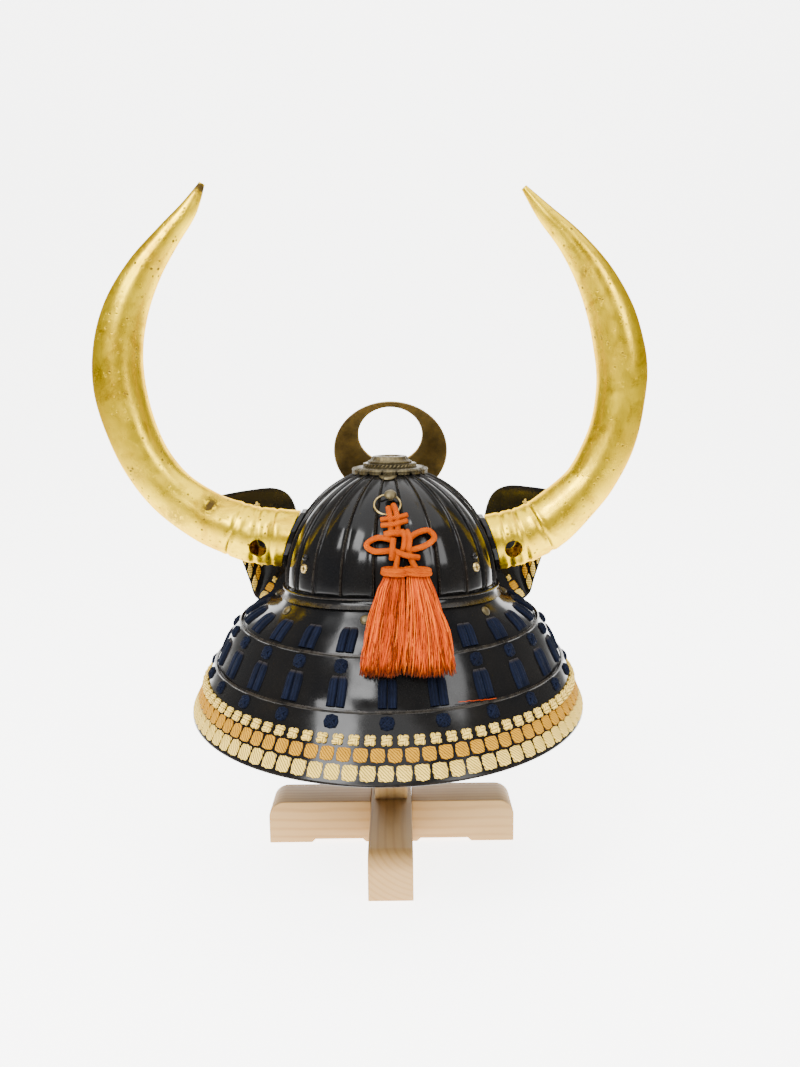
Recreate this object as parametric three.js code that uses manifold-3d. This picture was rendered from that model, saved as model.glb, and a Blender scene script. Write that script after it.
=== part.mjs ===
// Samurai helmet with gilt horns, seen from behind at -Y, on a cross-based wooden stand.
// Millimetres, +Z up. The origin is the middle of the stand's underside, on the floor.

import * as THREE from "three";
import { mergeVertices } from "three/addons/utils/BufferGeometryUtils.js";
import Module from "manifold-3d";

const wasm = await Module();
wasm.setup();

const { sin, cos, PI, abs, max } = Math;
const DEGREE = PI / 180;

// Gap between pieces that rest on each other
const GAP = 0.3;

// Stand
const BAR_LENGTH = 248;
const BAR_WIDTH = 41;
const BAR_HEIGHT = 44;
const BAR_CORNER = 16;
const BAR_FOOT_LENGTH = 43;
const BAR_UNDERCUT = 3.5;
const BAR_MIDDLE_LAND = 52;
const POST_WIDTH = 33;
const HEAD_RADIUS = 52;
const HEAD_THICKNESS = 16;
const HEAD_CLEAR = 2;

// The helmet sits a little to the right of the post
const HELMET_SHIFT = 2.5;

// Bowl: its plates, without the ribs
const BOWL_HALF_WIDTH = 101;
const BOWL_HALF_LENGTH = 110;
const BOWL_SQUARENESS = 2.3;
const BOWL_RIM_Z = 271;
const BOWL_HEIGHT = 109;
const BOWL_WALL = 2.4;
const BOWL_BACK_RISE = 8;
const BOWL_SKIRT = 9;
const PLATES = 24;
const PLATE_CROWN = 1;
const RIB_HEIGHT = 2.6;
const RIB_HALF_WIDTH = 1.3;
const RIB_HEIGHT_AT_COLLAR = 0.7;
const CROWN_HOLE_RADIUS = 15;
const HOLE_CLIMB = Math.acos(CROWN_HOLE_RADIUS / BOWL_HALF_WIDTH);
const BOWL_ROWS = 6;
const INNER_ROWS = 4;

// Waist band
const BAND_HEIGHT = 10.5;
const BAND_WALL = 1.6;
const BAND_FLARE = 5;
const BAND_BEAD = 2.6;

// Neck guard
const LAME_WALL = 1.8;
const LAME_STEP = 3.2;
const LAME_OVERLAP = 4.2;
const LAME_BEAD = 0.9;
const LAME_BEAD_HEIGHT = 2.6;
const LAME_REACH = 116 * DEGREE;
const LAME_STEPS = 30;
const LACES_EACH_SIDE = 7;
const LACE_SPACING = 15 * DEGREE;
const LACE_RELIEF = 2.2;
const LACE_SUNK = 0.9;
const LACE_PAIR_WIDTH = 16.6;
const LACE_TOP = 0.56;
const LACE_CLEAR = 1.4;

const NECK_TOP_Z = BOWL_RIM_Z - BOWL_SKIRT;
const NECK_DROP = 111;
const NECK_SPREAD = 82.8;
const NECK_BACK_SPREAD = 89.8;
const NECK_SEAT = 2.2;

// Slope of the neck guard, under the first lame: a row for each level, as shares of its drop, of its
// spread to the sides and of its spread to the back. shift moves a level forward and sway to the right,
// as shares of the drop. rise is how much of the bowl's back rise that level takes.
const SLOPE = [
  { down: 0, wide: 0, long: 0, shift: 0, sway: 0, rise: 1 },
  { down: 0.045, wide: 0.058, long: 0.0534, shift: 0, sway: 0, rise: 0.9 },
  { down: 0.2342, wide: 0.471, long: 0.3341, shift: 0.027, sway: -0.018, rise: 0 },
  { down: 0.5856, wide: 0.7391, long: 0.5813, shift: 0.0324, sway: -0.0234, rise: 0 },
  { down: 1, wide: 1, long: 1, shift: 0, sway: -0.036, rise: 0 },
].map(({ down, wide, long, shift, sway, rise }) => ({
  z: NECK_TOP_Z - NECK_DROP * down,
  halfWidth: BOWL_HALF_WIDTH + NECK_SEAT + NECK_SPREAD * wide,
  halfLength: BOWL_HALF_LENGTH + NECK_SEAT + NECK_BACK_SPREAD * long,
  middleX: NECK_DROP * sway,
  middleY: NECK_DROP * shift,
  rise,
}));

// Top and bottom level of each lame, where it shows, as shares of the neck guard's drop
const LAMES = [
  { name: "neck_lame_1", from: 0, to: 0.2342 },
  { name: "neck_lame_2", from: 0.2342, to: 0.5856 },
  { name: "neck_lame_3", from: 0.5856, to: 1 },
].map(({ name, from, to }) => ({
  name,
  top: NECK_TOP_Z - NECK_DROP * from,
  bottom: NECK_TOP_Z - NECK_DROP * to,
}));

// Side flap: the right end of the first lame turned back. A row for each station along it,
// with the inner top edge and the outer bottom edge as shares of the flap's width, depth and height.
// The levels are the shares from the top edge down at which its section has a point.
const FLAP_WIDTH = 182;
const FLAP_DEPTH = 88;
const FLAP_FOOT_Z = 226;
const FLAP_HEIGHT = 125;
const FLAP_LEVELS = [0, 0.045, 0.055, 0.5, 1];
const FLAP = [
  { topX: 0.571, topY: 0.659, topZ: 0.224, footX: 0.753, footY: 0.886, footZ: 0 },
  { topX: 0.571, topY: 0.773, topZ: 0.432, footX: 0.786, footY: 0.977, footZ: 0 },
  { topX: 0.549, topY: 0.886, topZ: 0.688, footX: 0.813, footY: 1.011, footZ: 0.02 },
  { topX: 0.588, topY: 0.966, topZ: 0.912, footX: 0.835, footY: 0.989, footZ: 0.072 },
  { topX: 0.681, topY: 0.989, topZ: 1, footX: 0.852, footY: 0.943, footZ: 0.192 },
  { topX: 0.835, topY: 0.92, topZ: 0.992, footX: 0.879, footY: 0.875, footZ: 0.352 },
  { topX: 1, topY: 0.784, topZ: 0.96, footX: 0.912, footY: 0.807, footZ: 0.528 },
];

// Visor
const VISOR_REACH = 50 * DEGREE;
const VISOR_DEPTH = 36;
const VISOR_DROP = 13;
const VISOR_WALL = 2;
const VISOR_SEAT = 2 * GAP + BAND_WALL + BAND_FLARE + 0.5;
const VISOR_DOWN = BAND_HEIGHT - 1.5;
const VISOR_STEPS = 24;

// Crown fitting: a petal collar, a rope tier and a top ring
const COLLAR_RADIUS = 36.5;
const COLLAR_TOP_Z = BOWL_RIM_Z + BOWL_HEIGHT + 1;
const COLLAR_DEPTH = 14;
const PETALS = 16;
const PETAL_DEPTH = 1.6;
const ROPE_TIER_RADIUS = 26;
const ROPE_TIER_HEIGHT = 3.4;
const ROPE_BEADS = 18;
const ROPE_BEAD_DEPTH = 0.9;
const TOP_RING_RADIUS = 21;
const TOP_RING_HEIGHT = 6.5;
const FITTING_HOLE_RADIUS = 10;

// Horns. Their paths start inside the bowl and are cut to it.
const HORN_HEIGHT = 330;
const HORN_BASE_Z = BOWL_RIM_Z + 36;
const HORN_GIRTH = 28;
const HORN_WALL = 3.5;
const HORN_BORE_LENGTH = 70;
const HORN_SIDES = 10;
const HORN_STATIONS = 15;
const HORN_GROOVE_DEPTH = 0.9;
const HORN_GROOVE_WIDTH = 3;
const PEG_HOLE_RADIUS = 8.6;
const WASHER_THICKNESS = 3.6;
const WASHER_LIP = 1.2;
const WASHER_ALONG = 0.02;

// Both horns: reach past the bowl's side, how far the base is raised, the peg hole's distance from the
// bowl and its height over the rim, and a row for each station of the path with its distance from the bowl's side and its rise as shares
// of the reach and of the height, and its girth as a share of the girth at the base.
const HORNS = [
  {
    name: "horn_left",
    side: -1,
    reach: 158.5,
    raised: 6,
    pegOut: 25.5,
    pegUp: 35.5,
    grooves: [0.063, 0.098, 0.145],
    path: [
      { out: -0.1019, up: -0.008, girth: 1 },
      { out: 0.1879, up: 0.006, girth: 0.99 },
      { out: 0.3107, up: 0.025, girth: 0.96 },
      { out: 0.4761, up: 0.058, girth: 0.91 },
      { out: 0.6824, up: 0.128, girth: 0.85 },
      { out: 0.8265, up: 0.215, girth: 0.83 },
      { out: 0.9198, up: 0.315, girth: 0.84 },
      { out: 0.9787, up: 0.435, girth: 0.865 },
      { out: 0.9754, up: 0.55, girth: 0.815 },
      { out: 0.9149, up: 0.66, girth: 0.725 },
      { out: 0.7986, up: 0.765, girth: 0.575 },
      { out: 0.6562, up: 0.853, girth: 0.42 },
      { out: 0.5187, up: 0.93, girth: 0.29 },
      { out: 0.4302, up: 1, girth: 0.1 },
    ],
  },
  {
    name: "horn_right",
    side: 1,
    reach: 121,
    raised: -0.5,
    pegOut: 16.5,
    pegUp: 32,
    grooves: [0.063, 0.098, 0.145],
    path: [
      { out: -0.132, up: -0.012, girth: 1 },
      { out: 0.1799, up: 0.012, girth: 0.975 },
      { out: 0.3487, up: 0.037, girth: 0.955 },
      { out: 0.4863, up: 0.071, girth: 0.94 },
      { out: 0.6954, up: 0.145, girth: 0.845 },
      { out: 0.7982, up: 0.196, girth: 0.83 },
      { out: 0.8991, up: 0.27, girth: 0.84 },
      { out: 0.9596, up: 0.34, girth: 0.83 },
      { out: 0.9908, up: 0.415, girth: 0.83 },
      { out: 1, up: 0.487, girth: 0.85 },
      { out: 0.9725, up: 0.558, girth: 0.84 },
      { out: 0.8991, up: 0.655, girth: 0.77 },
      { out: 0.7615, up: 0.76, girth: 0.62 },
      { out: 0.578, up: 0.853, girth: 0.44 },
      { out: 0.3762, up: 0.93, girth: 0.29 },
      { out: 0.2111, up: 1, girth: 0.1 },
    ],
  },
];

// Crest: a disc with a hole towards its top, leaning back over the bowl
const CREST_RADIUS = 60.3;
const CREST_HOLE_RADIUS = 33.3;
const CREST_HOLE_UP = 20.9;
const CREST_PLATE = 1.6;
const CREST_LEAN = 28 * DEGREE;
const CREST_Y = 86;
const CREST_Z = 389;
const CREST_SIDES = 40;
const TONGUE_WIDTH = 14;
const TONGUE_LENGTH = 26;
const HOLDER_WALL = 2.4;
const HOLDER_LENGTH = 22;

// Small fittings on the bowl: angle from the back and height as a share of the bowl's height
const GROMMET_RADIUS = 4.4;
const GROMMET_HOLE_RADIUS = 1.6;
const GROMMET_HEIGHT = 2;
const GROMMET_UP = 0.2;
const KNOB_RADIUS = 3.2;
const KNOB_UP = 0.29;
const STUD_ANGLES = [-45, 45, -135, 135];
const RIVET_RADIUS = 4.6;
const RIVET_HEIGHT = 2;
const RIVET_SEAT = 2.9 * GAP;
const RIVET_ANGLES = [-52, -10, 45, -96, 96];

// Ring at the back of the bowl
const RING_STUD_RADIUS = 5.6;
const RING_STUD_X = 1;
const RING_STUD_UP = 0.7936;
const RING_STUD_Z = BOWL_RIM_Z + BOWL_HEIGHT * RING_STUD_UP;
const RING_STUD_NECK = 1.2;
const RING_RADIUS = 11.7;
const RING_WIRE = 0.9;
const RING_SWING = 17 * DEGREE;

// Orange cord: the knot's strands on the bowl's back, each with its route of x, z and lift
const CORD = 2.6;
const NEAR = 5.6;
const FAR = 8.6;
const KNOT = [
  { radius: CORD, steps: 4, route: [[-0.8, 352, 5], [0.4, 346.8, 8.8], [1.5, 340, 6.6]] },
  { radius: CORD, steps: 4, route: [[3.6, 354, 5], [6.2, 348.6, 8.8], [7, 341, 6.6]] },
  { radius: 4.2, steps: 3, route: [[-7, 340, 7.4], [4.5, 341.8, 8.4], [15.6, 343.8, 7.4]] },
  { radius: CORD, steps: 3, route: [[1, 340, 6.4], [1.4, 331, 6.4]] },
  { radius: CORD, steps: 3, route: [[7.5, 341, 6.4], [7, 331, 6.4]] },
  { radius: 3.1, steps: 3, route: [[-4.4, 331.2, 6.6], [4, 332.6, 7.6], [12.4, 332.2, 6.6]] },
  {
    radius: CORD,
    steps: 8,
    route: [[4, 326.4, NEAR], [-10, 328.6, NEAR], [-19.6, 323, NEAR], [-13, 317.8, NEAR], [3, 318.4, NEAR]],
  },
  {
    radius: CORD,
    steps: 9,
    route: [[12, 323, NEAR], [22, 331, NEAR], [33.4, 333.4, NEAR], [38.8, 327, NEAR], [29.6, 321, NEAR],
      [14, 317.6, NEAR]],
  },
  { radius: CORD, steps: 3, route: [[3.4, 328.6, FAR], [2.4, 318, FAR], [2, 310.8, NEAR]] },
  { radius: CORD, steps: 3, route: [[3, 318.6, NEAR], [14, 314.8, FAR], [25.4, 312, NEAR]] },
  { radius: 4, steps: 3, route: [[12, 333, 6.6], [14.6, 326, 8], [14.4, 317, 6.6]] },
  { radius: CORD, steps: 2, route: [[6.6, 318, NEAR], [6.6, 312, NEAR], [5.2, 303.8, 6.8]] },
  { radius: CORD, steps: 2, route: [[16, 318, NEAR], [18, 312, NEAR], [22.4, 303.8, 6.8]] },
];

// Tassels: a row for each level, with the place off the middle as a share and the edges sideways
const TASSEL_TOP_Z = BOWL_RIM_Z + 30.5;
const TASSEL_LENGTH = 76;
const TASSEL_OUT = BOWL_HALF_LENGTH + 43;
const TASSEL_LOCKS = 10;
const TASSEL_HEAD_RADIUS = 5;
const LOCK_DEPTH = 0.12;
const LOCK_TIP = 1.8;
const TASSELS = [
  {
    name: "tassel_left",
    rows: [
      { down: 0.06, out: 0.725, left: -4.5, right: 12.6, thick: 10 },
      { down: 0.16, out: 0.742, left: -9.4, right: 12.8, thick: 11.5 },
      { down: 0.32, out: 0.768, left: -13.4, right: 12.6, thick: 12.5 },
      { down: 0.46, out: 0.786, left: -16.4, right: 11.8, thick: 13 },
      { down: 0.62, out: 0.845, left: -18.8, right: 10.4, thick: 13.5 },
      { down: 0.81, out: 0.924, left: -21, right: 8.4, thick: 14 },
      { down: 1, out: 1, left: -22.8, right: 7, thick: 14 },
    ],
  },
  {
    name: "tassel_right",
    rows: [
      { down: 0.06, out: 0.722, left: 14.4, right: 32.9, thick: 10 },
      { down: 0.16, out: 0.739, left: 14.8, right: 37, thick: 11.5 },
      { down: 0.32, out: 0.766, left: 15.2, right: 41, thick: 12.5 },
      { down: 0.46, out: 0.784, left: 15, right: 44.4, thick: 13 },
      { down: 0.62, out: 0.843, left: 14, right: 48.4, thick: 13.5 },
      { down: 0.81, out: 0.922, left: 12.6, right: 50.2, thick: 14 },
      { down: 1, out: 0.998, left: 11.4, right: 51.4, thick: 14 },
    ],
  },
];

// Materials
const lacquer = { color: 0x15161a, roughness: 0.18, metalness: 0.1 };
const gilt = { color: 0xd3b652, roughness: 0.42, metalness: 0.55 };
const oldBrass = { color: 0x7d6f4a, roughness: 0.45, metalness: 0.9 };
const bronze = { color: 0x5c451b, roughness: 0.4, metalness: 0.9 };
const silk = { color: 0xe4611f, roughness: 0.7, metalness: 0 };
const pine = { color: 0xe6cdb0, roughness: 0.65, metalness: 0 };

function makeMesh(name, geometry, finish) {
  const mesh = new THREE.Mesh(geometry, new THREE.MeshStandardMaterial(finish));
  mesh.name = name;
  return mesh;
}

// A closed geometry as a solid that can be joined and cut
function toSolid(geometry) {
  const plain = geometry.clone();
  plain.deleteAttribute("normal");
  plain.deleteAttribute("uv");
  const merged = mergeVertices(plain, 1e-4);
  const vertProperties = new Float32Array(merged.attributes.position.array);
  const triVerts = new Uint32Array(merged.index.array);
  return new wasm.Manifold(new wasm.Mesh({ numProp: 3, vertProperties, triVerts }));
}

function toGeometry(solid) {
  const mesh = solid.getMesh();
  const geometry = new THREE.BufferGeometry();
  geometry.setAttribute("position", new THREE.BufferAttribute(mesh.vertProperties, 3));
  geometry.setIndex(new THREE.BufferAttribute(mesh.triVerts, 1));
  return geometry;
}

function joinAll(solids) {
  return solids.reduce((whole, solid) => whole.add(solid));
}

// Closed body through rings of points. closed: the last ring meets the first, else the ends are capped,
// round rings with a fan about their middle and thin sections by their outline.
function skin(rings, closed = false) {
  const sides = rings[0].length;
  const points = rings.flat();
  const faces = [];
  const spans = closed ? rings.length : rings.length - 1;
  for (let row = 0; row < spans; row++) {
    const next = (row + 1) % rings.length;
    for (let side = 0; side < sides; side++) {
      const across = (side + 1) % sides;
      const a = row * sides + side;
      const b = row * sides + across;
      const c = next * sides + across;
      const d = next * sides + side;
      faces.push(a, b, c, a, c, d);
    }
  }
  if (!closed) {
    const last = (rings.length - 1) * sides;
    capFaces(rings[0], 0, points).forEach(([a, b, c]) => faces.push(a, c, b));
    capFaces(rings[rings.length - 1], last, points).forEach((face) => faces.push(...face));
  }
  const geometry = new THREE.BufferGeometry().setFromPoints(points);
  geometry.setIndex(faces);
  return outwards(geometry);
}

function capFaces(ring, first, points) {
  if (ring.length <= 10) {
    const faces = THREE.ShapeUtils.triangulateShape(flatten(ring), []);
    return faces.map((face) => face.map((corner) => first + corner));
  }
  const middle = ring.reduce((sum, point) => sum.add(point), new THREE.Vector3()).divideScalar(ring.length);
  points.push(middle);
  return ring.map((point, i) => [first + i, first + ((i + 1) % ring.length), points.length - 1]);
}

// The ring's points in its own plane, turning the same way as in space seen along its normal
function flatten(ring) {
  const normal = new THREE.Vector3();
  ring.forEach((point, index) => {
    const next = ring[(index + 1) % ring.length];
    normal.add(new THREE.Vector3().crossVectors(point, next));
  });
  normal.normalize();
  const across = new THREE.Vector3().subVectors(ring[1], ring[0]).normalize();
  const along = new THREE.Vector3().crossVectors(normal, across);
  return ring.map((point) => new THREE.Vector2(point.dot(across), point.dot(along)));
}

// Turns all faces over where the body is inside out
function outwards(geometry) {
  const position = geometry.attributes.position;
  const index = geometry.index.array;
  const corners = [0, 1, 2].map(() => new THREE.Vector3());
  let volume = 0;
  for (let i = 0; i < index.length; i += 3) {
    corners.forEach((corner, k) => corner.fromBufferAttribute(position, index[i + k]));
    volume += corners[0].dot(corners[1].clone().cross(corners[2]));
  }
  if (volume < 0) {
    for (let i = 0; i < index.length; i += 3) {
      [index[i + 1], index[i + 2]] = [index[i + 2], index[i + 1]];
    }
  }
  return geometry;
}

// Point of a squared oval. phi turns from the back at -Y towards +X.
function planPoint(phi, halfWidth, halfLength, squareness) {
  const across = abs(sin(phi) / halfWidth) ** squareness;
  const along = abs(cos(phi) / halfLength) ** squareness;
  const radius = (across + along) ** (-1 / squareness);
  return new THREE.Vector2(radius * sin(phi), -radius * cos(phi));
}

function backShare(phi) {
  return max(0, cos(phi)) ** 1.5;
}

// Point of the bowl's plates at an angle from the back and an angle up the dome, moved out by offset
function bowlPoint(phi, climb, offset = 0) {
  const halfWidth = BOWL_HALF_WIDTH * cos(climb);
  const halfLength = BOWL_HALF_LENGTH * cos(climb);
  const plan = planPoint(phi, halfWidth, halfLength, BOWL_SQUARENESS);
  const rise = BOWL_BACK_RISE * backShare(phi) * (1 - sin(climb));
  const normal = bowlNormal(phi, climb);
  return new THREE.Vector3(plan.x, plan.y, BOWL_RIM_Z + rise + BOWL_HEIGHT * sin(climb))
    .addScaledVector(normal, offset);
}

function bowlNormal(phi, climb) {
  const outward = planNormal(phi, BOWL_HALF_WIDTH, BOWL_HALF_LENGTH, BOWL_SQUARENESS);
  const level = cos(climb) / BOWL_HALF_WIDTH;
  const upward = sin(climb) / BOWL_HEIGHT;
  return new THREE.Vector3(outward.x * level, outward.y * level, upward).normalize();
}

function planNormal(phi, halfWidth, halfLength, squareness) {
  const step = 0.001;
  const before = planPoint(phi - step, halfWidth, halfLength, squareness);
  const after = planPoint(phi + step, halfWidth, halfLength, squareness);
  return new THREE.Vector2(after.y - before.y, before.x - after.x).normalize();
}

// Ring of the bowl's outside: ribs between crowned plates
function bowlRing(climb, ribShare) {
  const ring = [];
  for (let plate = 0; plate < PLATES; plate++) {
    const ribPhi = (plate + 0.5) * (2 * PI) / PLATES;
    const middlePhi = (plate + 1) * (2 * PI) / PLATES;
    const foot = bowlPoint(ribPhi, climb);
    const along = bowlPoint(ribPhi + 0.01, climb).sub(foot).setZ(0).normalize();
    const halfWidth = RIB_HALF_WIDTH * (0.45 + 0.55 * cos(climb));
    ring.push(foot.clone().addScaledVector(along, -halfWidth));
    ring.push(bowlPoint(ribPhi, climb, RIB_HEIGHT * ribShare));
    ring.push(foot.clone().addScaledVector(along, halfWidth));
    ring.push(bowlPoint(middlePhi, climb, PLATE_CROWN * ribShare * cos(climb)));
  }
  return ring;
}

// The same ring without ribs, moved out by offset and down by drop
function plainRing(climb, offset, drop) {
  return bowlRing(climb, 0).map((point) => {
    const normal = bowlNormal(Math.atan2(point.x, -point.y), climb);
    const moved = point.clone().addScaledVector(normal, offset);
    return moved.setZ(moved.z - drop);
  });
}

function makeBowl() {
  const rings = [plainRing(0, -0.2, BOWL_SKIRT), plainRing(0, -0.1, 0.9)];
  for (let row = 0; row <= BOWL_ROWS; row++) {
    rings.push(bowlRing((HOLE_CLIMB * row) / BOWL_ROWS, 1 - 0.5 * (row / BOWL_ROWS) ** 2));
  }
  const hole = new THREE.CylinderGeometry(CROWN_HOLE_RADIUS - 1, CROWN_HOLE_RADIUS - 1, BOWL_HEIGHT, PLATES);
  hole.rotateX(PI / 2);
  hole.translate(0, 0, BOWL_RIM_Z + BOWL_HEIGHT);
  const solid = toSolid(skin(rings))
    .subtract(bowlEnvelope(-BOWL_WALL, INNER_ROWS))
    .subtract(toSolid(hole));
  return makeMesh("bowl", toGeometry(solid), lacquer);
}

// Filled dome that clears the bowl by offset, to seat pieces against
function bowlEnvelope(offset, rows = BOWL_ROWS) {
  const sides = 2 * PLATES;
  const rings = [];
  for (let row = 0; row <= rows; row++) {
    const ring = [];
    for (let i = 0; i < sides; i++) {
      ring.push(bowlPoint((i * 2 * PI) / sides, (HOLE_CLIMB * row) / rows, offset));
    }
    rings.push(ring);
  }
  rings.unshift(rings[0].map((point) => point.clone().setZ(point.z - BOWL_SKIRT * 2)));
  return toSolid(skin(rings));
}

// Closed band round the bowl from a profile of offsets outwards and depths below the rim
function bandSolid(profile, sides) {
  const rings = [];
  for (let i = 0; i < sides; i++) {
    const phi = (i * 2 * PI) / sides;
    rings.push(profile.map(([outward, depth]) => {
      const point = bowlPoint(phi, 0, outward);
      return point.setZ(point.z - depth);
    }));
  }
  return skin(rings, true);
}

function makeBand() {
  const inner = GAP + PLATE_CROWN * 0.2;
  const middle = inner + BAND_WALL;
  const profile = [
    [inner, 1.4],
    [middle + BAND_BEAD, 1.4],
    [middle + BAND_BEAD, 4],
    [middle + 0.6, 4.8],
    [middle + BAND_FLARE, BAND_HEIGHT],
    [inner + BAND_FLARE, BAND_HEIGHT + 0.6],
    [inner + BAND_FLARE * 0.55, BAND_HEIGHT * 0.62],
    [inner, 4.6],
  ];
  return makeMesh("waist_band", bandSolid(profile, 2 * PLATES), lacquer);
}

// Values of the neck guard's slope at a level, on a smooth curve through its table
function slopeAt(z) {
  const last = SLOPE.length - 2;
  let row = SLOPE.findIndex((entry, i) => i > 0 && z >= entry.z) - 1;
  if (row < 0) row = z > SLOPE[0].z ? 0 : last;
  const before = SLOPE[max(row - 1, 0)];
  const start = SLOPE[row];
  const end = SLOPE[row + 1];
  const after = SLOPE[Math.min(row + 2, SLOPE.length - 1)];
  const span = end.z - start.z;
  const share = (z - start.z) / span;
  const blend = (key) => {
    const startSlope = (end[key] - before[key]) / (end.z - before.z);
    const endSlope = (after[key] - start[key]) / (after.z - start.z);
    const s2 = share * share;
    const s3 = s2 * share;
    return start[key] * (2 * s3 - 3 * s2 + 1) + end[key] * (3 * s2 - 2 * s3)
      + startSlope * span * (s3 - 2 * s2 + share) + endSlope * span * (s3 - s2);
  };
  return {
    halfWidth: blend("halfWidth"),
    halfLength: blend("halfLength"),
    middleX: blend("middleX"),
    middleY: blend("middleY"),
    rise: blend("rise"),
  };
}

// Point of the neck guard's slope, moved out level by outward
function slopePoint(phi, z, outward) {
  const at = slopeAt(z);
  const squareness = 2 + (BOWL_SQUARENESS - 2) * at.rise;
  const plan = planPoint(phi, at.halfWidth + outward, at.halfLength + outward, squareness);
  const height = z + BOWL_BACK_RISE * at.rise * backShare(phi);
  return new THREE.Vector3(plan.x + at.middleX, plan.y + at.middleY, height);
}

// Section of a lame through its outer points: the outside down, then the inside up
function lameSection(outer, normal) {
  return [
    ...outer.map(({ point, lift }) => point.clone().addScaledVector(normal, lift)),
    ...[outer.length - 1, 3, 0].map((i) => outer[i].point.clone().addScaledVector(normal, -LAME_WALL)),
  ];
}

function lameRing(phi, top, bottom, outward) {
  const bead = outward === 0 ? 0.1 : LAME_BEAD;
  const levels = [
    { z: top, lift: bead },
    { z: top - LAME_BEAD_HEIGHT, lift: bead },
    { z: top - LAME_BEAD_HEIGHT - 0.5, lift: 0 },
    { z: (top + bottom) / 2, lift: 0 },
    { z: bottom, lift: 0 },
  ];
  const outer = levels.map(({ z, lift }) => ({ point: slopePoint(phi, z, outward), lift }));
  const down = outer[4].point.clone().sub(outer[0].point);
  const along = slopePoint(phi + 0.01, top, outward).sub(slopePoint(phi - 0.01, top, outward));
  const normal = along.cross(down).normalize().negate();
  if (normal.z < 0) normal.negate();
  return lameSection(outer, normal);
}

function lameRings(index) {
  const { top, bottom } = LAMES[index];
  const hidden = index < LAMES.length - 1 ? LAME_OVERLAP : 0;
  const rings = [];
  for (let i = 0; i <= LAME_STEPS; i++) {
    const phi = LAME_REACH * ((2 * i) / LAME_STEPS - 1);
    rings.push(lameRing(phi, top, bottom - hidden, index * LAME_STEP));
  }
  return rings;
}

// Rings of the turned-back end on one side, from the lame outwards
function flapRings(side) {
  const stations = FLAP.map((row) => ({
    top: new THREE.Vector3(side * row.topX * FLAP_WIDTH, row.topY * FLAP_DEPTH,
      FLAP_FOOT_Z + row.topZ * FLAP_HEIGHT),
    foot: new THREE.Vector3(side * row.footX * FLAP_WIDTH, row.footY * FLAP_DEPTH,
      FLAP_FOOT_Z + row.footZ * FLAP_HEIGHT),
  }));
  return stations.map(({ top, foot }, i) => {
    const before = stations[max(i - 1, 0)];
    const after = stations[Math.min(i + 1, stations.length - 1)];
    const along = after.top.clone().add(after.foot).sub(before.top).sub(before.foot);
    const down = foot.clone().sub(top);
    const normal = along.cross(down).normalize().multiplyScalar(-side);
    const outer = FLAP_LEVELS.map((share, k) => ({
      point: top.clone().lerp(foot, share),
      lift: k < 2 ? LAME_BEAD : 0,
    }));
    return lameSection(outer, normal);
  });
}

// A pair of laces side by side, raised on the slope at an angle and sunk a little into its lame
function laceSolid(phi, top, bottom, outward) {
  const half = LACE_PAIR_WIDTH / 2;
  const rings = [top, bottom].map((z) => {
    const centre = slopePoint(phi, z, outward);
    const { along, normal } = slopeFrame(phi, z, outward);
    const rise = LACE_RELIEF;
    const offsets = [[-half, -LACE_SUNK], [-half * 0.8, rise], [0, rise * 0.35], [half * 0.8, rise],
      [half, -LACE_SUNK]];
    return offsets.map(([across, up]) => centre.clone()
      .addScaledVector(along, across)
      .addScaledVector(normal, up));
  });
  return toSolid(skin(rings));
}

// Directions along the lame and out of it
function slopeFrame(phi, z, outward) {
  const along = slopePoint(phi + 0.01, z, outward).sub(slopePoint(phi - 0.01, z, outward)).normalize();
  const down = slopePoint(phi, z - 1, outward).sub(slopePoint(phi, z + 1, outward)).normalize();
  const normal = along.clone().cross(down).normalize();
  if (normal.z < 0) normal.negate();
  return { along, normal };
}

// The pairs of laces that hang one lame from the next
function laceSolids(index) {
  const { top, bottom } = LAMES[index];
  const outward = index * LAME_STEP;
  const upper = bottom + (top - bottom) * LACE_TOP;
  const solids = [];
  for (let pair = -LACES_EACH_SIDE; pair <= LACES_EACH_SIDE; pair++) {
    solids.push(laceSolid(pair * LACE_SPACING, upper, bottom + LACE_CLEAR, outward));
  }
  return solids;
}

function makeLames() {
  return LAMES.map(({ name }, index) => {
    let rings = lameRings(index);
    if (index === 0) {
      const left = flapRings(-1).reverse();
      rings = [...left, ...rings, ...flapRings(1)];
    }
    let solid = toSolid(skin(rings));
    if (index < LAMES.length - 1) solid = joinAll([solid, ...laceSolids(index)]);
    return makeMesh(name, toGeometry(solid), lacquer);
  });
}

// Height of the visor's top at its middle, for a place forward
function visorHeight(y) {
  const innerY = BOWL_HALF_LENGTH + VISOR_SEAT;
  return BOWL_RIM_Z - VISOR_DOWN - (VISOR_DROP * (y - innerY)) / VISOR_DEPTH;
}

function makeVisor() {
  const rings = [];
  for (let i = 0; i <= VISOR_STEPS; i++) {
    const turn = (2 * i) / VISOR_STEPS - 1;
    const phi = PI + VISOR_REACH * turn;
    const reach = VISOR_DEPTH * Math.sqrt(1 - 0.94 * turn * turn);
    const inner = bowlPoint(phi, 0, VISOR_SEAT);
    const outer = bowlPoint(phi, 0, VISOR_SEAT + reach);
    const drop = VISOR_DOWN;
    const fall = VISOR_DROP * (reach / VISOR_DEPTH);
    rings.push([
      inner.clone().setZ(inner.z - drop),
      outer.clone().setZ(outer.z - drop - fall),
      outer.clone().setZ(outer.z - drop - fall - VISOR_WALL),
      inner.clone().setZ(inner.z - drop - VISOR_WALL),
    ]);
  }
  return makeMesh("visor", skin(rings), lacquer);
}

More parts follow.
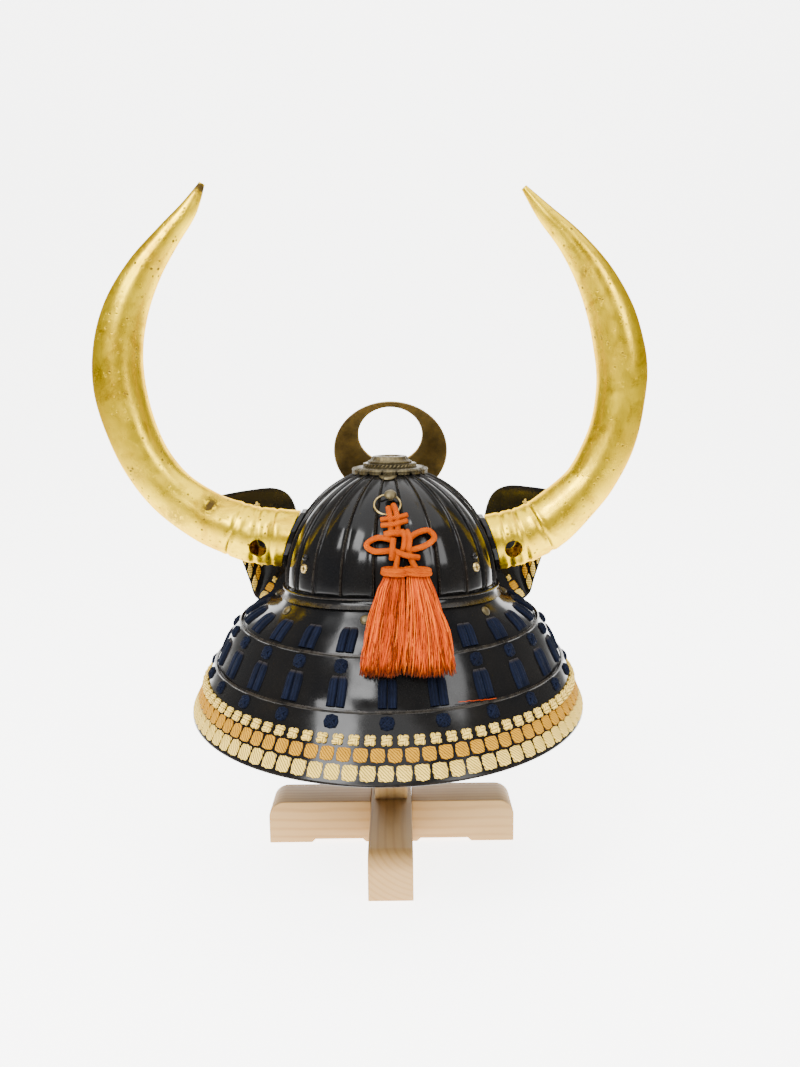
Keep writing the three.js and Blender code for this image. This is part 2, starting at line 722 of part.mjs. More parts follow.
// Round the crown: a fluted disc between two heights with a hole, before it is fitted to the bowl
function flutedRing(radius, holeRadius, low, high, flutes, depth, topInset) {
  const perFlute = 2;
  const steps = flutes * perFlute;
  const rings = [];
  for (let i = 0; i < steps; i++) {
    const angle = (i * 2 * PI) / steps;
    const dip = i % perFlute === 0 ? depth : 0;
    const outer = radius - dip;
    const at = (r, z) => new THREE.Vector3(r * cos(angle), r * sin(angle), z);
    rings.push([at(holeRadius, low), at(outer, low), at(outer, high - topInset * 0.4),
      at(outer - topInset, high), at(holeRadius, high)]);
  }
  return toSolid(skin(rings, true));
}

function makeCrownFitting(envelope) {
  const collar = flutedRing(COLLAR_RADIUS, FITTING_HOLE_RADIUS, COLLAR_TOP_Z - COLLAR_DEPTH, COLLAR_TOP_Z,
    PETALS, PETAL_DEPTH, 4).subtract(envelope);
  const tierZ = COLLAR_TOP_Z + GAP;
  const tier = flutedRing(ROPE_TIER_RADIUS, FITTING_HOLE_RADIUS, tierZ, tierZ + ROPE_TIER_HEIGHT,
    ROPE_BEADS, ROPE_BEAD_DEPTH, 1.2);
  const topZ = tierZ + ROPE_TIER_HEIGHT + GAP;
  const step = TOP_RING_RADIUS - 4;
  const profile = [
    [FITTING_HOLE_RADIUS, 0],
    [TOP_RING_RADIUS, 0],
    [TOP_RING_RADIUS, 2],
    [step + 1, 3.4],
    [step, TOP_RING_HEIGHT - 0.8],
    [step - 1.2, TOP_RING_HEIGHT],
    [FITTING_HOLE_RADIUS + 1.5, TOP_RING_HEIGHT],
    [FITTING_HOLE_RADIUS, TOP_RING_HEIGHT - 1],
    [FITTING_HOLE_RADIUS, 0],
  ].map(([radius, z]) => new THREE.Vector2(radius, z));
  const top = latheUp(profile, 18).translate(0, 0, topZ);
  return [
    makeMesh("crown_collar", toGeometry(collar), oldBrass),
    makeMesh("crown_rope_tier", toGeometry(tier), oldBrass),
    makeMesh("crown_top_ring", top, oldBrass),
  ];
}

// A lathe turned so that its axis is +Z
function latheUp(profile, sides) {
  const geometry = new THREE.LatheGeometry(profile, sides);
  geometry.rotateX(PI / 2);
  return outwards(mergeIndexed(geometry));
}

function mergeIndexed(geometry) {
  geometry.deleteAttribute("normal");
  geometry.deleteAttribute("uv");
  return toGeometry(toSolid(outwards(mergeVertices(geometry, 1e-4))));
}

// Where a piece's local +Z points along a direction, at a place
function place(geometry, point, direction) {
  const turn = new THREE.Quaternion().setFromUnitVectors(new THREE.Vector3(0, 0, 1), direction);
  geometry.applyQuaternion(turn);
  geometry.translate(point.x, point.y, point.z);
  return geometry;
}

function hornRings(horn, curve, girthAt, shrink, until) {
  const grooveLevels = horn.grooves.flatMap((share) => {
    const width = HORN_GROOVE_WIDTH / HORN_HEIGHT / 2;
    return [[share - width, 0], [share, HORN_GROOVE_DEPTH], [share + width, 0]];
  });
  const plainLevels = [];
  for (let i = 0; i <= HORN_STATIONS; i++) plainLevels.push([i / HORN_STATIONS, 0]);
  const clear = (share) => grooveLevels.every(([level]) => abs(level - share) > 0.008);
  let levels = plainLevels.filter(([share]) => clear(share));
  if (shrink === 0) levels = levels.concat(grooveLevels);
  levels = levels.filter(([share]) => share <= until).sort((a, b) => a[0] - b[0]);
  return levels.map(([share, dip]) => {
    const centre = curve.getPointAt(share);
    const along = curve.getTangentAt(share);
    const across = new THREE.Vector3(-along.z, 0, along.x);
    const radius = max(girthAt(share) - dip - shrink, 0.5);
    const ring = [];
    for (let i = 0; i < HORN_SIDES; i++) {
      const angle = (i * 2 * PI) / HORN_SIDES;
      ring.push(centre.clone().addScaledVector(across, radius * cos(angle))
        .add(new THREE.Vector3(0, radius * sin(angle), 0)));
    }
    return ring;
  });
}

function hornParts(horn) {
  const points = horn.path.map(({ out, up }) => new THREE.Vector3(
    horn.side * (BOWL_HALF_WIDTH + out * horn.reach), 0, HORN_BASE_Z + horn.raised + up * HORN_HEIGHT));
  const curve = new THREE.CatmullRomCurve3(points, false, "centripetal");
  const lengths = [0];
  points.slice(1).forEach((point, i) => lengths.push(lengths[i] + point.distanceTo(points[i])));
  const total = lengths[lengths.length - 1];
  const girthAt = (share) => {
    const distance = share * total;
    const row = Math.min(lengths.filter((length) => length <= distance).length, lengths.length - 1) - 1;
    const part = (distance - lengths[row]) / (lengths[row + 1] - lengths[row]);
    const girth = horn.path[row].girth * (1 - part) + horn.path[row + 1].girth * part;
    return HORN_GIRTH * girth;
  };
  return { curve, girthAt, total };
}

function pegHole(horn) {
  const hole = new THREE.CylinderGeometry(PEG_HOLE_RADIUS, PEG_HOLE_RADIUS, HORN_GIRTH * 3, 16);
  hole.translate(horn.side * (BOWL_HALF_WIDTH + horn.pegOut), 0, BOWL_RIM_Z + horn.pegUp);
  return toSolid(hole);
}

// A horn, cut to the bowl over its washer, hollow near its base, with a peg hole right through
function makeHorn(horn) {
  const { curve, girthAt, total } = hornParts(horn);
  const bore = HORN_BORE_LENGTH / total;
  const outside = toSolid(skin(hornRings(horn, curve, girthAt, 0, 1)));
  const hollow = toSolid(skin(hornRings(horn, curve, girthAt, HORN_WALL, bore)));
  const solid = outside
    .subtract(hollow)
    .subtract(bowlEnvelope(RIB_HEIGHT + WASHER_THICKNESS + 2 * GAP))
    .subtract(pegHole(horn));
  return makeMesh(horn.name, toGeometry(solid), gilt);
}

function makeWasher(horn) {
  const { curve, girthAt } = hornParts(horn);
  const centre = curve.getPointAt(WASHER_ALONG);
  const radius = girthAt(0) + WASHER_LIP;
  const hole = radius - HORN_WALL - WASHER_LIP;
  const outer = new THREE.CylinderGeometry(radius, radius, HORN_GIRTH * 3, 16).rotateZ(PI / 2);
  const inner = new THREE.CylinderGeometry(hole, hole, HORN_GIRTH * 4, 12).rotateZ(PI / 2);
  outer.translate(centre.x, 0, centre.z);
  inner.translate(centre.x, 0, centre.z);
  const solid = toSolid(outer)
    .subtract(toSolid(inner))
    .intersect(bowlEnvelope(RIB_HEIGHT + WASHER_THICKNESS + GAP))
    .subtract(bowlEnvelope(RIB_HEIGHT + GAP));
  return makeMesh(horn.name.replace("horn", "horn_washer"), toGeometry(solid), lacquer);
}

// From upright, with the crest disc's middle at the origin, to its place leaning back over the bowl
function leanBack(geometry) {
  return geometry.rotateX(CREST_LEAN).translate(0, CREST_Y, CREST_Z);
}

function makeCrest() {
  const half = TONGUE_WIDTH / 2;
  const edge = Math.asin(half / CREST_RADIUS);
  const outline = new THREE.Shape();
  outline.absarc(0, 0, CREST_RADIUS, -PI / 2 + edge, 1.5 * PI - edge, false);
  outline.lineTo(-half, -CREST_RADIUS - TONGUE_LENGTH);
  outline.lineTo(half, -CREST_RADIUS - TONGUE_LENGTH);
  outline.closePath();
  const hole = new THREE.Path();
  hole.absarc(0, CREST_HOLE_UP, CREST_HOLE_RADIUS, 0, 2 * PI, true);
  outline.holes.push(hole);
  const plate = new THREE.ExtrudeGeometry(outline, {
    depth: CREST_PLATE,
    bevelEnabled: false,
    curveSegments: CREST_SIDES / 2,
  });
  plate.rotateX(PI / 2);
  plate.translate(0, CREST_PLATE / 2, 0);
  return makeMesh("crest_disc", leanBack(mergeIndexed(plate)), bronze);
}

// Socket round the crest's tongue, on a plain foot that stands on the visor
function makeCrestHolder() {
  const width = TONGUE_WIDTH + 2 * (GAP + HOLDER_WALL);
  const depth = CREST_PLATE + 2 * (GAP + HOLDER_WALL);
  const low = -CREST_RADIUS - TONGUE_LENGTH - GAP;
  const block = new THREE.BoxGeometry(width, depth, HOLDER_LENGTH + HOLDER_WALL);
  block.translate(0, 0, low + (HOLDER_LENGTH - HOLDER_WALL) / 2);
  const slot = new THREE.BoxGeometry(TONGUE_WIDTH + 2 * GAP, CREST_PLATE + 2 * GAP, HOLDER_LENGTH + 1);
  slot.translate(0, 0, low + (HOLDER_LENGTH + 1) / 2);
  const footY = CREST_Y - low * sin(CREST_LEAN);
  const footTop = CREST_Z + low * cos(CREST_LEAN) + HOLDER_WALL;
  const footLow = visorHeight(footY - HOLDER_WALL) + GAP;
  const foot = new THREE.BoxGeometry(width, HOLDER_WALL * 2, footTop - footLow);
  foot.translate(0, footY, (footTop + footLow) / 2);
  const solid = toSolid(leanBack(block)).add(toSolid(foot)).subtract(toSolid(leanBack(slot)));
  return makeMesh("crest_holder", toGeometry(solid), oldBrass);
}

// Brass eyelets with a black rivet above each
function makeBowlStuds() {
  return STUD_ANGLES.flatMap((degrees, i) => {
    const phi = degrees * DEGREE;
    const grommetClimb = Math.asin(GROMMET_UP);
    const knobClimb = Math.asin(KNOB_UP);
    const lift = PLATE_CROWN + GAP;
    const profile = [
      [GROMMET_HOLE_RADIUS, 0], [GROMMET_RADIUS, 0], [GROMMET_RADIUS, 0.8],
      [GROMMET_RADIUS * 0.6, GROMMET_HEIGHT], [GROMMET_HOLE_RADIUS, GROMMET_HEIGHT * 0.7],
      [GROMMET_HOLE_RADIUS, 0],
    ].map(([radius, z]) => new THREE.Vector2(radius, z));
    const grommet = place(latheUp(profile, 8), bowlPoint(phi, grommetClimb, lift),
      bowlNormal(phi, grommetClimb));
    const knob = place(domeHead(KNOB_RADIUS, KNOB_RADIUS), bowlPoint(phi, knobClimb, lift),
      bowlNormal(phi, knobClimb));
    return [
      makeMesh(`bowl_grommet_${i + 1}`, grommet, oldBrass),
      makeMesh(`bowl_knob_${i + 1}`, knob, lacquer),
    ];
  });
}

// Rounded rivet head standing on z = 0
function domeHead(radius, height) {
  const profile = [[0, 0], [radius, 0], [radius * 0.92, height * 0.45], [radius * 0.55, height * 0.88],
    [0, height]].map(([r, z]) => new THREE.Vector2(r, z));
  return latheUp(profile, 8);
}

function makeBandRivets() {
  return RIVET_ANGLES.map((degrees, i) => {
    const phi = degrees * DEGREE;
    const z = SLOPE[1].z - RIVET_RADIUS * 0.6;
    const point = slopePoint(phi, z, 0);
    const { normal } = slopeFrame(phi, z, 0);
    point.addScaledVector(normal, RIVET_SEAT);
    const head = place(domeHead(RIVET_RADIUS, RIVET_HEIGHT), point, normal);
    return makeMesh(`band_rivet_${i + 1}`, head, oldBrass);
  });
}

// Point at the back of the bowl for a sideways place and a height, and the normal there
function bowlBack(x, z, offset) {
  let climb = Math.asin(Math.min(0.98, max(0, (z - BOWL_RIM_Z) / BOWL_HEIGHT)));
  let phi = 0;
  for (let i = 0; i < 12; i++) {
    const point = bowlPoint(phi, climb, offset);
    phi += (x - point.x) / (BOWL_HALF_LENGTH * max(cos(climb), 0.2));
    climb += ((z - point.z) / BOWL_HEIGHT) * 0.8;
  }
  return { point: bowlPoint(phi, climb, offset), normal: bowlNormal(phi, climb) };
}

function makeRingStud() {
  const { point, normal } = bowlBack(RING_STUD_X, RING_STUD_Z, 0);
  point.addScaledVector(normal, PLATE_CROWN + GAP);
  const head = RING_STUD_RADIUS;
  const profile = [[0, 0], [RING_STUD_NECK * 2, 0], [RING_STUD_NECK, 1], [RING_STUD_NECK, 4.4], [head, 5],
    [head, 6.4], [head * 0.6, 7.6], [0, 8]].map(([r, z]) => new THREE.Vector2(r, z));
  return makeMesh("ring_stud", place(latheUp(profile, 12), point, normal), oldBrass);
}

// The ring hangs on the stud's neck and lies on the ribs
function makeCordRing() {
  const lift = RIB_HEIGHT * 0.8 + RING_WIRE + GAP;
  const { point, normal } = bowlBack(RING_STUD_X, RING_STUD_Z, 0);
  point.addScaledVector(normal, lift);
  const across = new THREE.Vector3(1, 0, 0);
  const down = across.clone().cross(normal).normalize();
  const drop = RING_RADIUS - RING_WIRE - RING_STUD_NECK - GAP;
  point.addScaledVector(down, drop * cos(RING_SWING)).addScaledVector(across, -drop * sin(RING_SWING));
  const torus = new THREE.TorusGeometry(RING_RADIUS, RING_WIRE, 4, 18);
  return makeMesh("cord_ring", mergeIndexed(place(torus, point, normal)), oldBrass);
}

// Tube along a route of points on the bowl's back: x sideways, z up, lift off the plates
function strand({ route, radius, steps }) {
  const points = route.map(([x, z, lift]) => bowlBack(x, z, lift).point);
  const curve = new THREE.CatmullRomCurve3(points, false, "centripetal");
  const section = new THREE.Shape();
  section.absarc(0, 0, radius, 0, 2 * PI, false);
  const geometry = new THREE.ExtrudeGeometry(section, {
    steps,
    curveSegments: 3,
    extrudePath: curve,
    bevelEnabled: false,
  });
  return toSolid(mergeIndexed(geometry));
}

function makeBowKnot() {
  return makeMesh("bow_knot", toGeometry(joinAll(KNOT.map(strand))), silk);
}

// A tassel: locks side by side round an oval, fused to the collar at their head
function makeTassel({ name, rows }) {
  const points = 2 * TASSEL_LOCKS;
  const rings = rows.map(({ down, out, left, right, thick }, row) => {
    const z = TASSEL_TOP_Z - TASSEL_LENGTH * down;
    const middleX = (left + right) / 2;
    const halfWidth = (right - left) / 2;
    const ring = [];
    for (let i = 0; i < points; i++) {
      const angle = (i * 2 * PI) / points;
      const valley = i % 2 === 0 ? 1 : 1 - LOCK_DEPTH * Math.min(1, row / 2);
      const lower = row === rows.length - 1 && i % 2 === 0 ? LOCK_TIP : 0;
      const depth = thick / 2;
      ring.push(new THREE.Vector3(middleX + halfWidth * valley * cos(angle),
        -TASSEL_OUT * out - depth + depth * valley * sin(angle), z - lower));
    }
    return ring;
  });
  const head = rows[0];
  const radius = TASSEL_HEAD_RADIUS;
  const collar = new THREE.CapsuleGeometry(radius, head.right - head.left - 2 * radius, 2, 8);
  collar.rotateZ(PI / 2);
  const middle = (head.left + head.right) / 2;
  collar.translate(middle, -TASSEL_OUT * head.out - radius, TASSEL_TOP_Z - radius * 0.6);
  const solid = toSolid(skin(rings)).add(toSolid(mergeIndexed(collar)));
  return makeMesh(name, toGeometry(solid), silk);
}

// Side view of a base bar: rounded upper ends, feet, and a notch for the other bar
function barOutline(notchFromTop) {
  const half = BAR_LENGTH / 2;
  const footEnd = half - BAR_FOOT_LENGTH;
  const land = BAR_MIDDLE_LAND / 2;
  const notch = BAR_WIDTH / 2 + GAP;
  const middle = BAR_HEIGHT / 2;
  const outline = new THREE.Shape();
  outline.moveTo(-half, 0);
  outline.lineTo(-footEnd, 0);
  outline.lineTo(-footEnd + BAR_UNDERCUT, BAR_UNDERCUT);
  outline.lineTo(-land - BAR_UNDERCUT, BAR_UNDERCUT);
  outline.lineTo(-land, 0);
  if (!notchFromTop) {
    outline.lineTo(-notch, 0);
    outline.lineTo(-notch, middle + GAP / 2);
    outline.lineTo(notch, middle + GAP / 2);
    outline.lineTo(notch, 0);
  }
  outline.lineTo(land, 0);
  outline.lineTo(land + BAR_UNDERCUT, BAR_UNDERCUT);
  outline.lineTo(footEnd - BAR_UNDERCUT, BAR_UNDERCUT);
  outline.lineTo(footEnd, 0);
  outline.lineTo(half, 0);
  outline.lineTo(half, BAR_HEIGHT - BAR_CORNER);
  outline.absarc(half - BAR_CORNER, BAR_HEIGHT - BAR_CORNER, BAR_CORNER, 0, PI / 2, false);
  if (notchFromTop) {
    outline.lineTo(notch, BAR_HEIGHT);
    outline.lineTo(notch, middle - GAP / 2);
    outline.lineTo(-notch, middle - GAP / 2);
    outline.lineTo(-notch, BAR_HEIGHT);
  }
  outline.absarc(-half + BAR_CORNER, BAR_HEIGHT - BAR_CORNER, BAR_CORNER, PI / 2, PI, false);
  outline.closePath();
  return outline;
}

// Bar along X, its upper half cut away where the other bar crosses
function makeBar(name, notchFromTop) {
  const bar = new THREE.ExtrudeGeometry(barOutline(notchFromTop), {
    depth: BAR_WIDTH,
    bevelEnabled: false,
    curveSegments: 6,
  });
  bar.rotateX(PI / 2);
  bar.translate(0, BAR_WIDTH / 2, 0);
  return makeMesh(name, mergeIndexed(bar), pine);
}

// Height at which a disc of this radius touches the inside of the bowl from below
function insideHeight(radius) {
  const halfWidth = BOWL_HALF_WIDTH - BOWL_WALL;
  return BOWL_RIM_Z + (BOWL_HEIGHT - BOWL_WALL) * Math.sqrt(1 - (radius / halfWidth) ** 2);
}

function makeStand() {
  const barX = makeBar("stand_bar_x", true);
  const barY = makeBar("stand_bar_y", false);
  barY.geometry.rotateZ(PI / 2);
  const headFoot = insideHeight(HEAD_RADIUS + HEAD_CLEAR) - GAP - HEAD_THICKNESS;
  const postLow = BAR_HEIGHT + GAP;
  const postHigh = headFoot - GAP;
  const post = new THREE.BoxGeometry(POST_WIDTH, POST_WIDTH, postHigh - postLow);
  post.translate(0, 0, (postLow + postHigh) / 2);
  const head = new THREE.CylinderGeometry(HEAD_RADIUS, HEAD_RADIUS, HEAD_THICKNESS, PLATES);
  head.rotateX(PI / 2);
  head.translate(HELMET_SHIFT, 0, headFoot + HEAD_THICKNESS / 2);
  return [barX, barY, makeMesh("stand_post", post, pine), makeMesh("stand_head", head, pine)];
}

function assemble() {
  const whole = new THREE.Group();
  const helmet = new THREE.Group();
  helmet.position.x = HELMET_SHIFT;
  const collarSeat = bowlEnvelope(RIB_HEIGHT * RIB_HEIGHT_AT_COLLAR + GAP);
  helmet.add(makeBowl(), makeBand(), makeVisor(), ...makeLames(), ...makeCrownFitting(collarSeat));
  HORNS.forEach((horn) => helmet.add(makeHorn(horn), makeWasher(horn)));
  helmet.add(makeCrest(), makeCrestHolder(), ...makeBowlStuds(), ...makeBandRivets());
  helmet.add(makeRingStud(), makeCordRing(), makeBowKnot(), ...TASSELS.map(makeTassel));
  whole.add(helmet, ...makeStand());
  return whole;
}

export default assemble();
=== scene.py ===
# Samurai helmet with gilt horns on a cross-based pine stand: its surfaces and fine detail.
# Lengths are millimetres, with the helmet's own middle at x = 0, until make() turns them into metres.
# The helmet's back faces -Y, as in the photograph.

import math
import random

import bmesh
import bpy
from mathutils import Matrix, Vector


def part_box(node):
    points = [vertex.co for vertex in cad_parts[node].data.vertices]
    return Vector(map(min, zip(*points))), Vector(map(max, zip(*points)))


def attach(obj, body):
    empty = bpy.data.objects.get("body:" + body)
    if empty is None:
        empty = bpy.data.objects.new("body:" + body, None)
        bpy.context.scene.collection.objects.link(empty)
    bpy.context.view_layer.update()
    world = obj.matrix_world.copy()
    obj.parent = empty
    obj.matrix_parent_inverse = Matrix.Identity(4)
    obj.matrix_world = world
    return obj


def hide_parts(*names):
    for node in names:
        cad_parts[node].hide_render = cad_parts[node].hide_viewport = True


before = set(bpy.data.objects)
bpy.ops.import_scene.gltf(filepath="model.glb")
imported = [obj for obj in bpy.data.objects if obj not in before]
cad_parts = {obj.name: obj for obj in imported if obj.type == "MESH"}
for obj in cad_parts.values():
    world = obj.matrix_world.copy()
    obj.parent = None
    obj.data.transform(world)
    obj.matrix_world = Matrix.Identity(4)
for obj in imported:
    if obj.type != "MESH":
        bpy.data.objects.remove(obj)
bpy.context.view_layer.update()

DEG = math.pi / 180
TURN = 2 * math.pi
MM = 0.001

# Camera, worked out from the photograph's stand and bowl rim
IMAGE_HEIGHT = 1067
CAMERA_AT = (11.7, -832.45, 455.61)
CAMERA_DOWN = 9.59 * DEG
CAMERA_ROLL = -0.61 * DEG
FOCAL_PIXELS = 860
SENSOR_HEIGHT = 24

# Place of the helmet on the stand
HELMET_SHIFT = 2.5

# Bowl
BOWL_WIDE = 101
BOWL_LONG = 110
BOWL_SQUARENESS = 2.3
RIM_Z = 271
BOWL_HIGH = 109
BOWL_WALL = 2.4
BACK_RISE = 8
SKIRT = 9
PLATES = 24
PLATE_CROWN = 1.0
RIB_HIGH = 2.6
CROWN_HOLE = 15
HOLE_CLIMB = math.acos(CROWN_HOLE / BOWL_WIDE)

# Waist band and visor
BAND_HIGH = 10.5
BAND_WALL = 1.6
BAND_FLARE = 5
BAND_BEAD = 2.6
BAND_SEAT = 0.5
VISOR_REACH = 50 * DEG
VISOR_DEEP = 36
VISOR_DROP = 13
VISOR_WALL = 2
VISOR_SEAT = 7.7

# Neck guard
LAME_REACH = 116 * DEG
LAME_WALL = 1.8
LAME_STEP = 3.2
LAME_BEAD = 0.9
LAMES = [
    {"top": 262, "bottom": 231.8, "shown": 236},
    {"top": 236, "bottom": 192.8, "shown": 197},
    {"top": 197, "bottom": 151, "shown": 151},
]
SLOPE = [
    {"z": 262, "wide": 103.2, "long": 112.2, "x": 0, "y": 0, "rise": 1},
    {"z": 257, "wide": 108, "long": 117, "x": 0, "y": 0, "rise": 0.9},
    {"z": 236, "wide": 142.2, "long": 142.2, "x": -2, "y": 3, "rise": 0},
    {"z": 197, "wide": 164.4, "long": 164.4, "x": -2.6, "y": 3.6, "rise": 0},
    {"z": 151, "wide": 186, "long": 202, "x": -4, "y": 0, "rise": 0},
]
LACE_SPACING = 15 * DEG
LACES_EACH_SIDE = 7
LACE_WIDE = 7.6
LACE_HIGH = 2.4
LACE_TOPS = (0.54, 0.6)

# Patches of silk along the lowest lame: height of each row, and width and height of a patch
PATCHES_ROUND = 88
CREAM_ROW = {"z": 158.6, "wide": 12.9, "high": 13.6}
TAN_ROW = {"z": 169.2, "wide": 12.1, "high": 12.4}
CROSS_ROW = {"z": 178, "wide": 10.4, "high": 9.8}
NAVY_KNOT_BELOW = 8.2
NAVY_KNOT = 12.6
SILK_REPEAT = 24

# Side flaps, as shares of their width, depth and height: inner top edge and outer foot edge
FLAP_WIDE = 182
FLAP_DEEP = 88
FLAP_FOOT_Z = 226
FLAP_HIGH = 125
FLAP = [
    {"top": (0.571, 0.659, 0.224), "foot": (0.753, 0.886, 0)},
    {"top": (0.571, 0.773, 0.432), "foot": (0.786, 0.977, 0)},
    {"top": (0.549, 0.886, 0.688), "foot": (0.813, 1.011, 0.02)},
    {"top": (0.588, 0.966, 0.912), "foot": (0.835, 0.989, 0.072)},
    {"top": (0.681, 0.989, 1), "foot": (0.852, 0.943, 0.192)},
    {"top": (0.835, 0.92, 0.992), "foot": (0.879, 0.875, 0.352)},
    {"top": (1, 0.784, 0.96), "foot": (0.912, 0.807, 0.528)},
]

# Rows of patches on a flap: distance from its foot edge, kind and size, and the step along a row
FLAP_ROWS = [(8.5, "cream", 12.2), (21, "tan", 11.4), (32, "cross", 9)]
FLAP_PATCH_STEP = 14.5

# Crown fitting
COLLAR_RADIUS = 36.5
COLLAR_TOP = 381
PETALS = 16
TIER_RADIUS = 26
TIER_HIGH = 3.4
ROPE_BEADS = 40
TOP_RADIUS = 21
TOP_HIGH = 6.5
FITTING_HOLE = 10

# Horns: path rows are the distance out, the rise and the girth as shares
HORN_HIGH = 330
HORN_GIRTH = 28
HORN_WALL = 3.5
HORN_BORE = 70
WASHER_THICK = 3.6
PEG_HOLE = 8.6
GROOVE_DEEP = 0.9
GROOVE_WIDE = 1.6
GROOVES = [0.063, 0.098, 0.145]
HORNS = [
    {
        "node": "horn_left", "side": -1, "span": 259.5, "base": 313, "peg": (126.5, 306.5),
        "path": [
            (0.327, -0.008, 1), (0.504, 0.006, 0.99), (0.579, 0.025, 0.96), (0.68, 0.058, 0.91),
            (0.806, 0.128, 0.85), (0.894, 0.215, 0.83), (0.951, 0.315, 0.84), (0.987, 0.435, 0.865),
            (0.985, 0.55, 0.815), (0.948, 0.66, 0.725), (0.877, 0.765, 0.575), (0.79, 0.853, 0.42),
            (0.706, 0.93, 0.29), (0.652, 1, 0.1),
        ],
    },
    {
        "node": "horn_right", "side": 1, "span": 222, "base": 306.5, "peg": (117.5, 303),
        "path": [
            (0.383, -0.012, 1), (0.553, 0.012, 0.975), (0.645, 0.037, 0.955), (0.72, 0.071, 0.94),
            (0.834, 0.145, 0.845), (0.89, 0.196, 0.83), (0.945, 0.27, 0.84), (0.978, 0.34, 0.83),
            (0.995, 0.415, 0.83), (1, 0.487, 0.85), (0.985, 0.558, 0.84), (0.945, 0.655, 0.77),
            (0.87, 0.76, 0.62), (0.77, 0.853, 0.44), (0.66, 0.93, 0.29), (0.57, 1, 0.1),
        ],
    },
]

# Crest
CREST_RADIUS = 60.3
CREST_HOLE = 33.3
CREST_HOLE_UP = 20.9
CREST_PLATE = 1.6
CREST_LEAN = 28 * DEG
CREST_Y = 86
CREST_Z = 389
TONGUE_WIDE = 14
TONGUE_LONG = 26

# Small fittings on the bowl: degrees from the back, and height as a share of the bowl's
STUD_ANGLES = [-45, 45, -135, 135]
GROMMET_UP = 0.2
GROMMET_RADIUS = 4.4
KNOB_UP = 0.29
KNOB_RADIUS = 3.2
RIVET_ANGLES = [-52, -10, 45, -96, 96]
RIVET_RADIUS = 4.6
RING_STUD_X = 1
RING_STUD_Z = 357.5
RING_STUD_RADIUS = 5.6
RING_STUD_NECK = 1.2
RING_RADIUS = 11.7
RING_WIRE = 0.9
RING_SWING = 17 * DEG

# Orange cord: each strand's radius and route of x, z and lift off the bowl
CORD = 2.6
NEAR = 5.6
FAR = 8.6
KNOT = [
    (CORD, [(-0.8, 352, 5), (0.4, 346.8, 8.8), (1.5, 340, 6.6)]),
    (CORD, [(3.6, 354, 5), (6.2, 348.6, 8.8), (7, 341, 6.6)]),
    (2.3, [(-7.4, 343, 6.4), (4.5, 344.6, 8.6), (15.6, 346.4, 6.4)]),
    (2.3, [(-7, 338.6, 6.6), (4.5, 340, 8.8), (15.4, 342, 6.6)]),
    (CORD, [(1, 340, 6.4), (1.4, 331, 6.4)]),
    (CORD, [(7.5, 341, 6.4), (7, 331, 6.4)]),
    (3.1, [(-4.4, 331.2, 6.6), (4, 332.6, 7.8), (12.4, 332.2, 6.6)]),
    (CORD, [(4, 326.4, NEAR), (-10, 328.6, NEAR), (-19.6, 323, NEAR), (-13, 317.8, NEAR), (3, 318.4, NEAR)]),
    (CORD, [(12, 323, NEAR), (22, 331, NEAR), (33.4, 333.4, NEAR), (38.8, 327, NEAR), (29.6, 321, NEAR),
            (14, 317.6, NEAR)]),
    (CORD, [(3.4, 328.6, FAR), (2.4, 318, FAR), (2, 310.8, NEAR)]),
    (CORD, [(3, 318.6, NEAR), (14, 314.8, FAR), (25.4, 312, NEAR)]),
    (2.4, [(10.8, 334, 6), (13, 330, 8.6), (12.6, 324, 8.6), (11.4, 318.6, 6.4)]),
    (2.4, [(15, 334, 6), (17.4, 329, 8.4), (17, 323, 8.4), (15.6, 318, 6.4)]),
    (CORD, [(6.6, 318, NEAR), (6.6, 312, NEAR), (5.2, 303.6, 6.8)]),
    (CORD, [(16, 318, NEAR), (18, 312, NEAR), (22.4, 303.4, 6.8)]),
]

# Tassels: a row for each level down, with the place off the middle as a share and the edges sideways
TASSEL_TOP = 301.5
TASSEL_LONG = 76
TASSEL_OUT = 153
TASSEL_STRANDS = 520
STRAND_RADIUS = 0.42
TASSELS = {
    "tassel_left": [
        (0.0, 0.716, -3.4, 11.6, 8), (0.06, 0.725, -4.5, 12.6, 10), (0.16, 0.742, -9.4, 12.8, 11.5),
        (0.32, 0.768, -13.4, 12.6, 12.5), (0.46, 0.786, -16.4, 11.8, 13), (0.62, 0.845, -18.8, 10.4, 13.5),
        (0.81, 0.924, -21, 8.4, 14), (1, 1, -22.8, 7, 14),
    ],
    "tassel_right": [
        (0.0, 0.714, 15.4, 31.9, 8), (0.06, 0.722, 14.4, 32.9, 10), (0.16, 0.739, 14.8, 37, 11.5),
        (0.32, 0.766, 15.2, 41, 12.5), (0.46, 0.784, 15, 44.4, 13), (0.62, 0.843, 14, 48.4, 13.5),
        (0.81, 0.922, 12.6, 50.2, 14), (1, 0.998, 11.4, 51.4, 14),
    ],
}

# Stand
BAR_LONG = 248
BAR_WIDE = 41
BAR_HIGH = 44
BAR_CORNER = 16
BAR_FOOT = 43
BAR_UNDERCUT = 3.5
BAR_LAND = 52
HEAD_RADIUS = 52
GAP = 0.3

# Studio
PAPER_GLOW = 5
FLOOR_BELOW = 0.0005
PAPER_WIDE = 14
PAPER_FRONT = -7
PAPER_TURN_AT = 2.2
PAPER_TURN_RADIUS = 3
PAPER_HIGH = 9
GLOW_WIDENS = 0.5
GLOW_SIDE = 0.6
GLOW_SIDE_END = 1.1
GLOW_FRONT = -0.4
GLOW_FRONT_END = -0.7
GLOW_HIGH = 3.2
GLOW_HIGH_END = 4
AMBIENT = 0.45
AMBIENT_COLOUR = (1, 0.995, 0.985, 1)
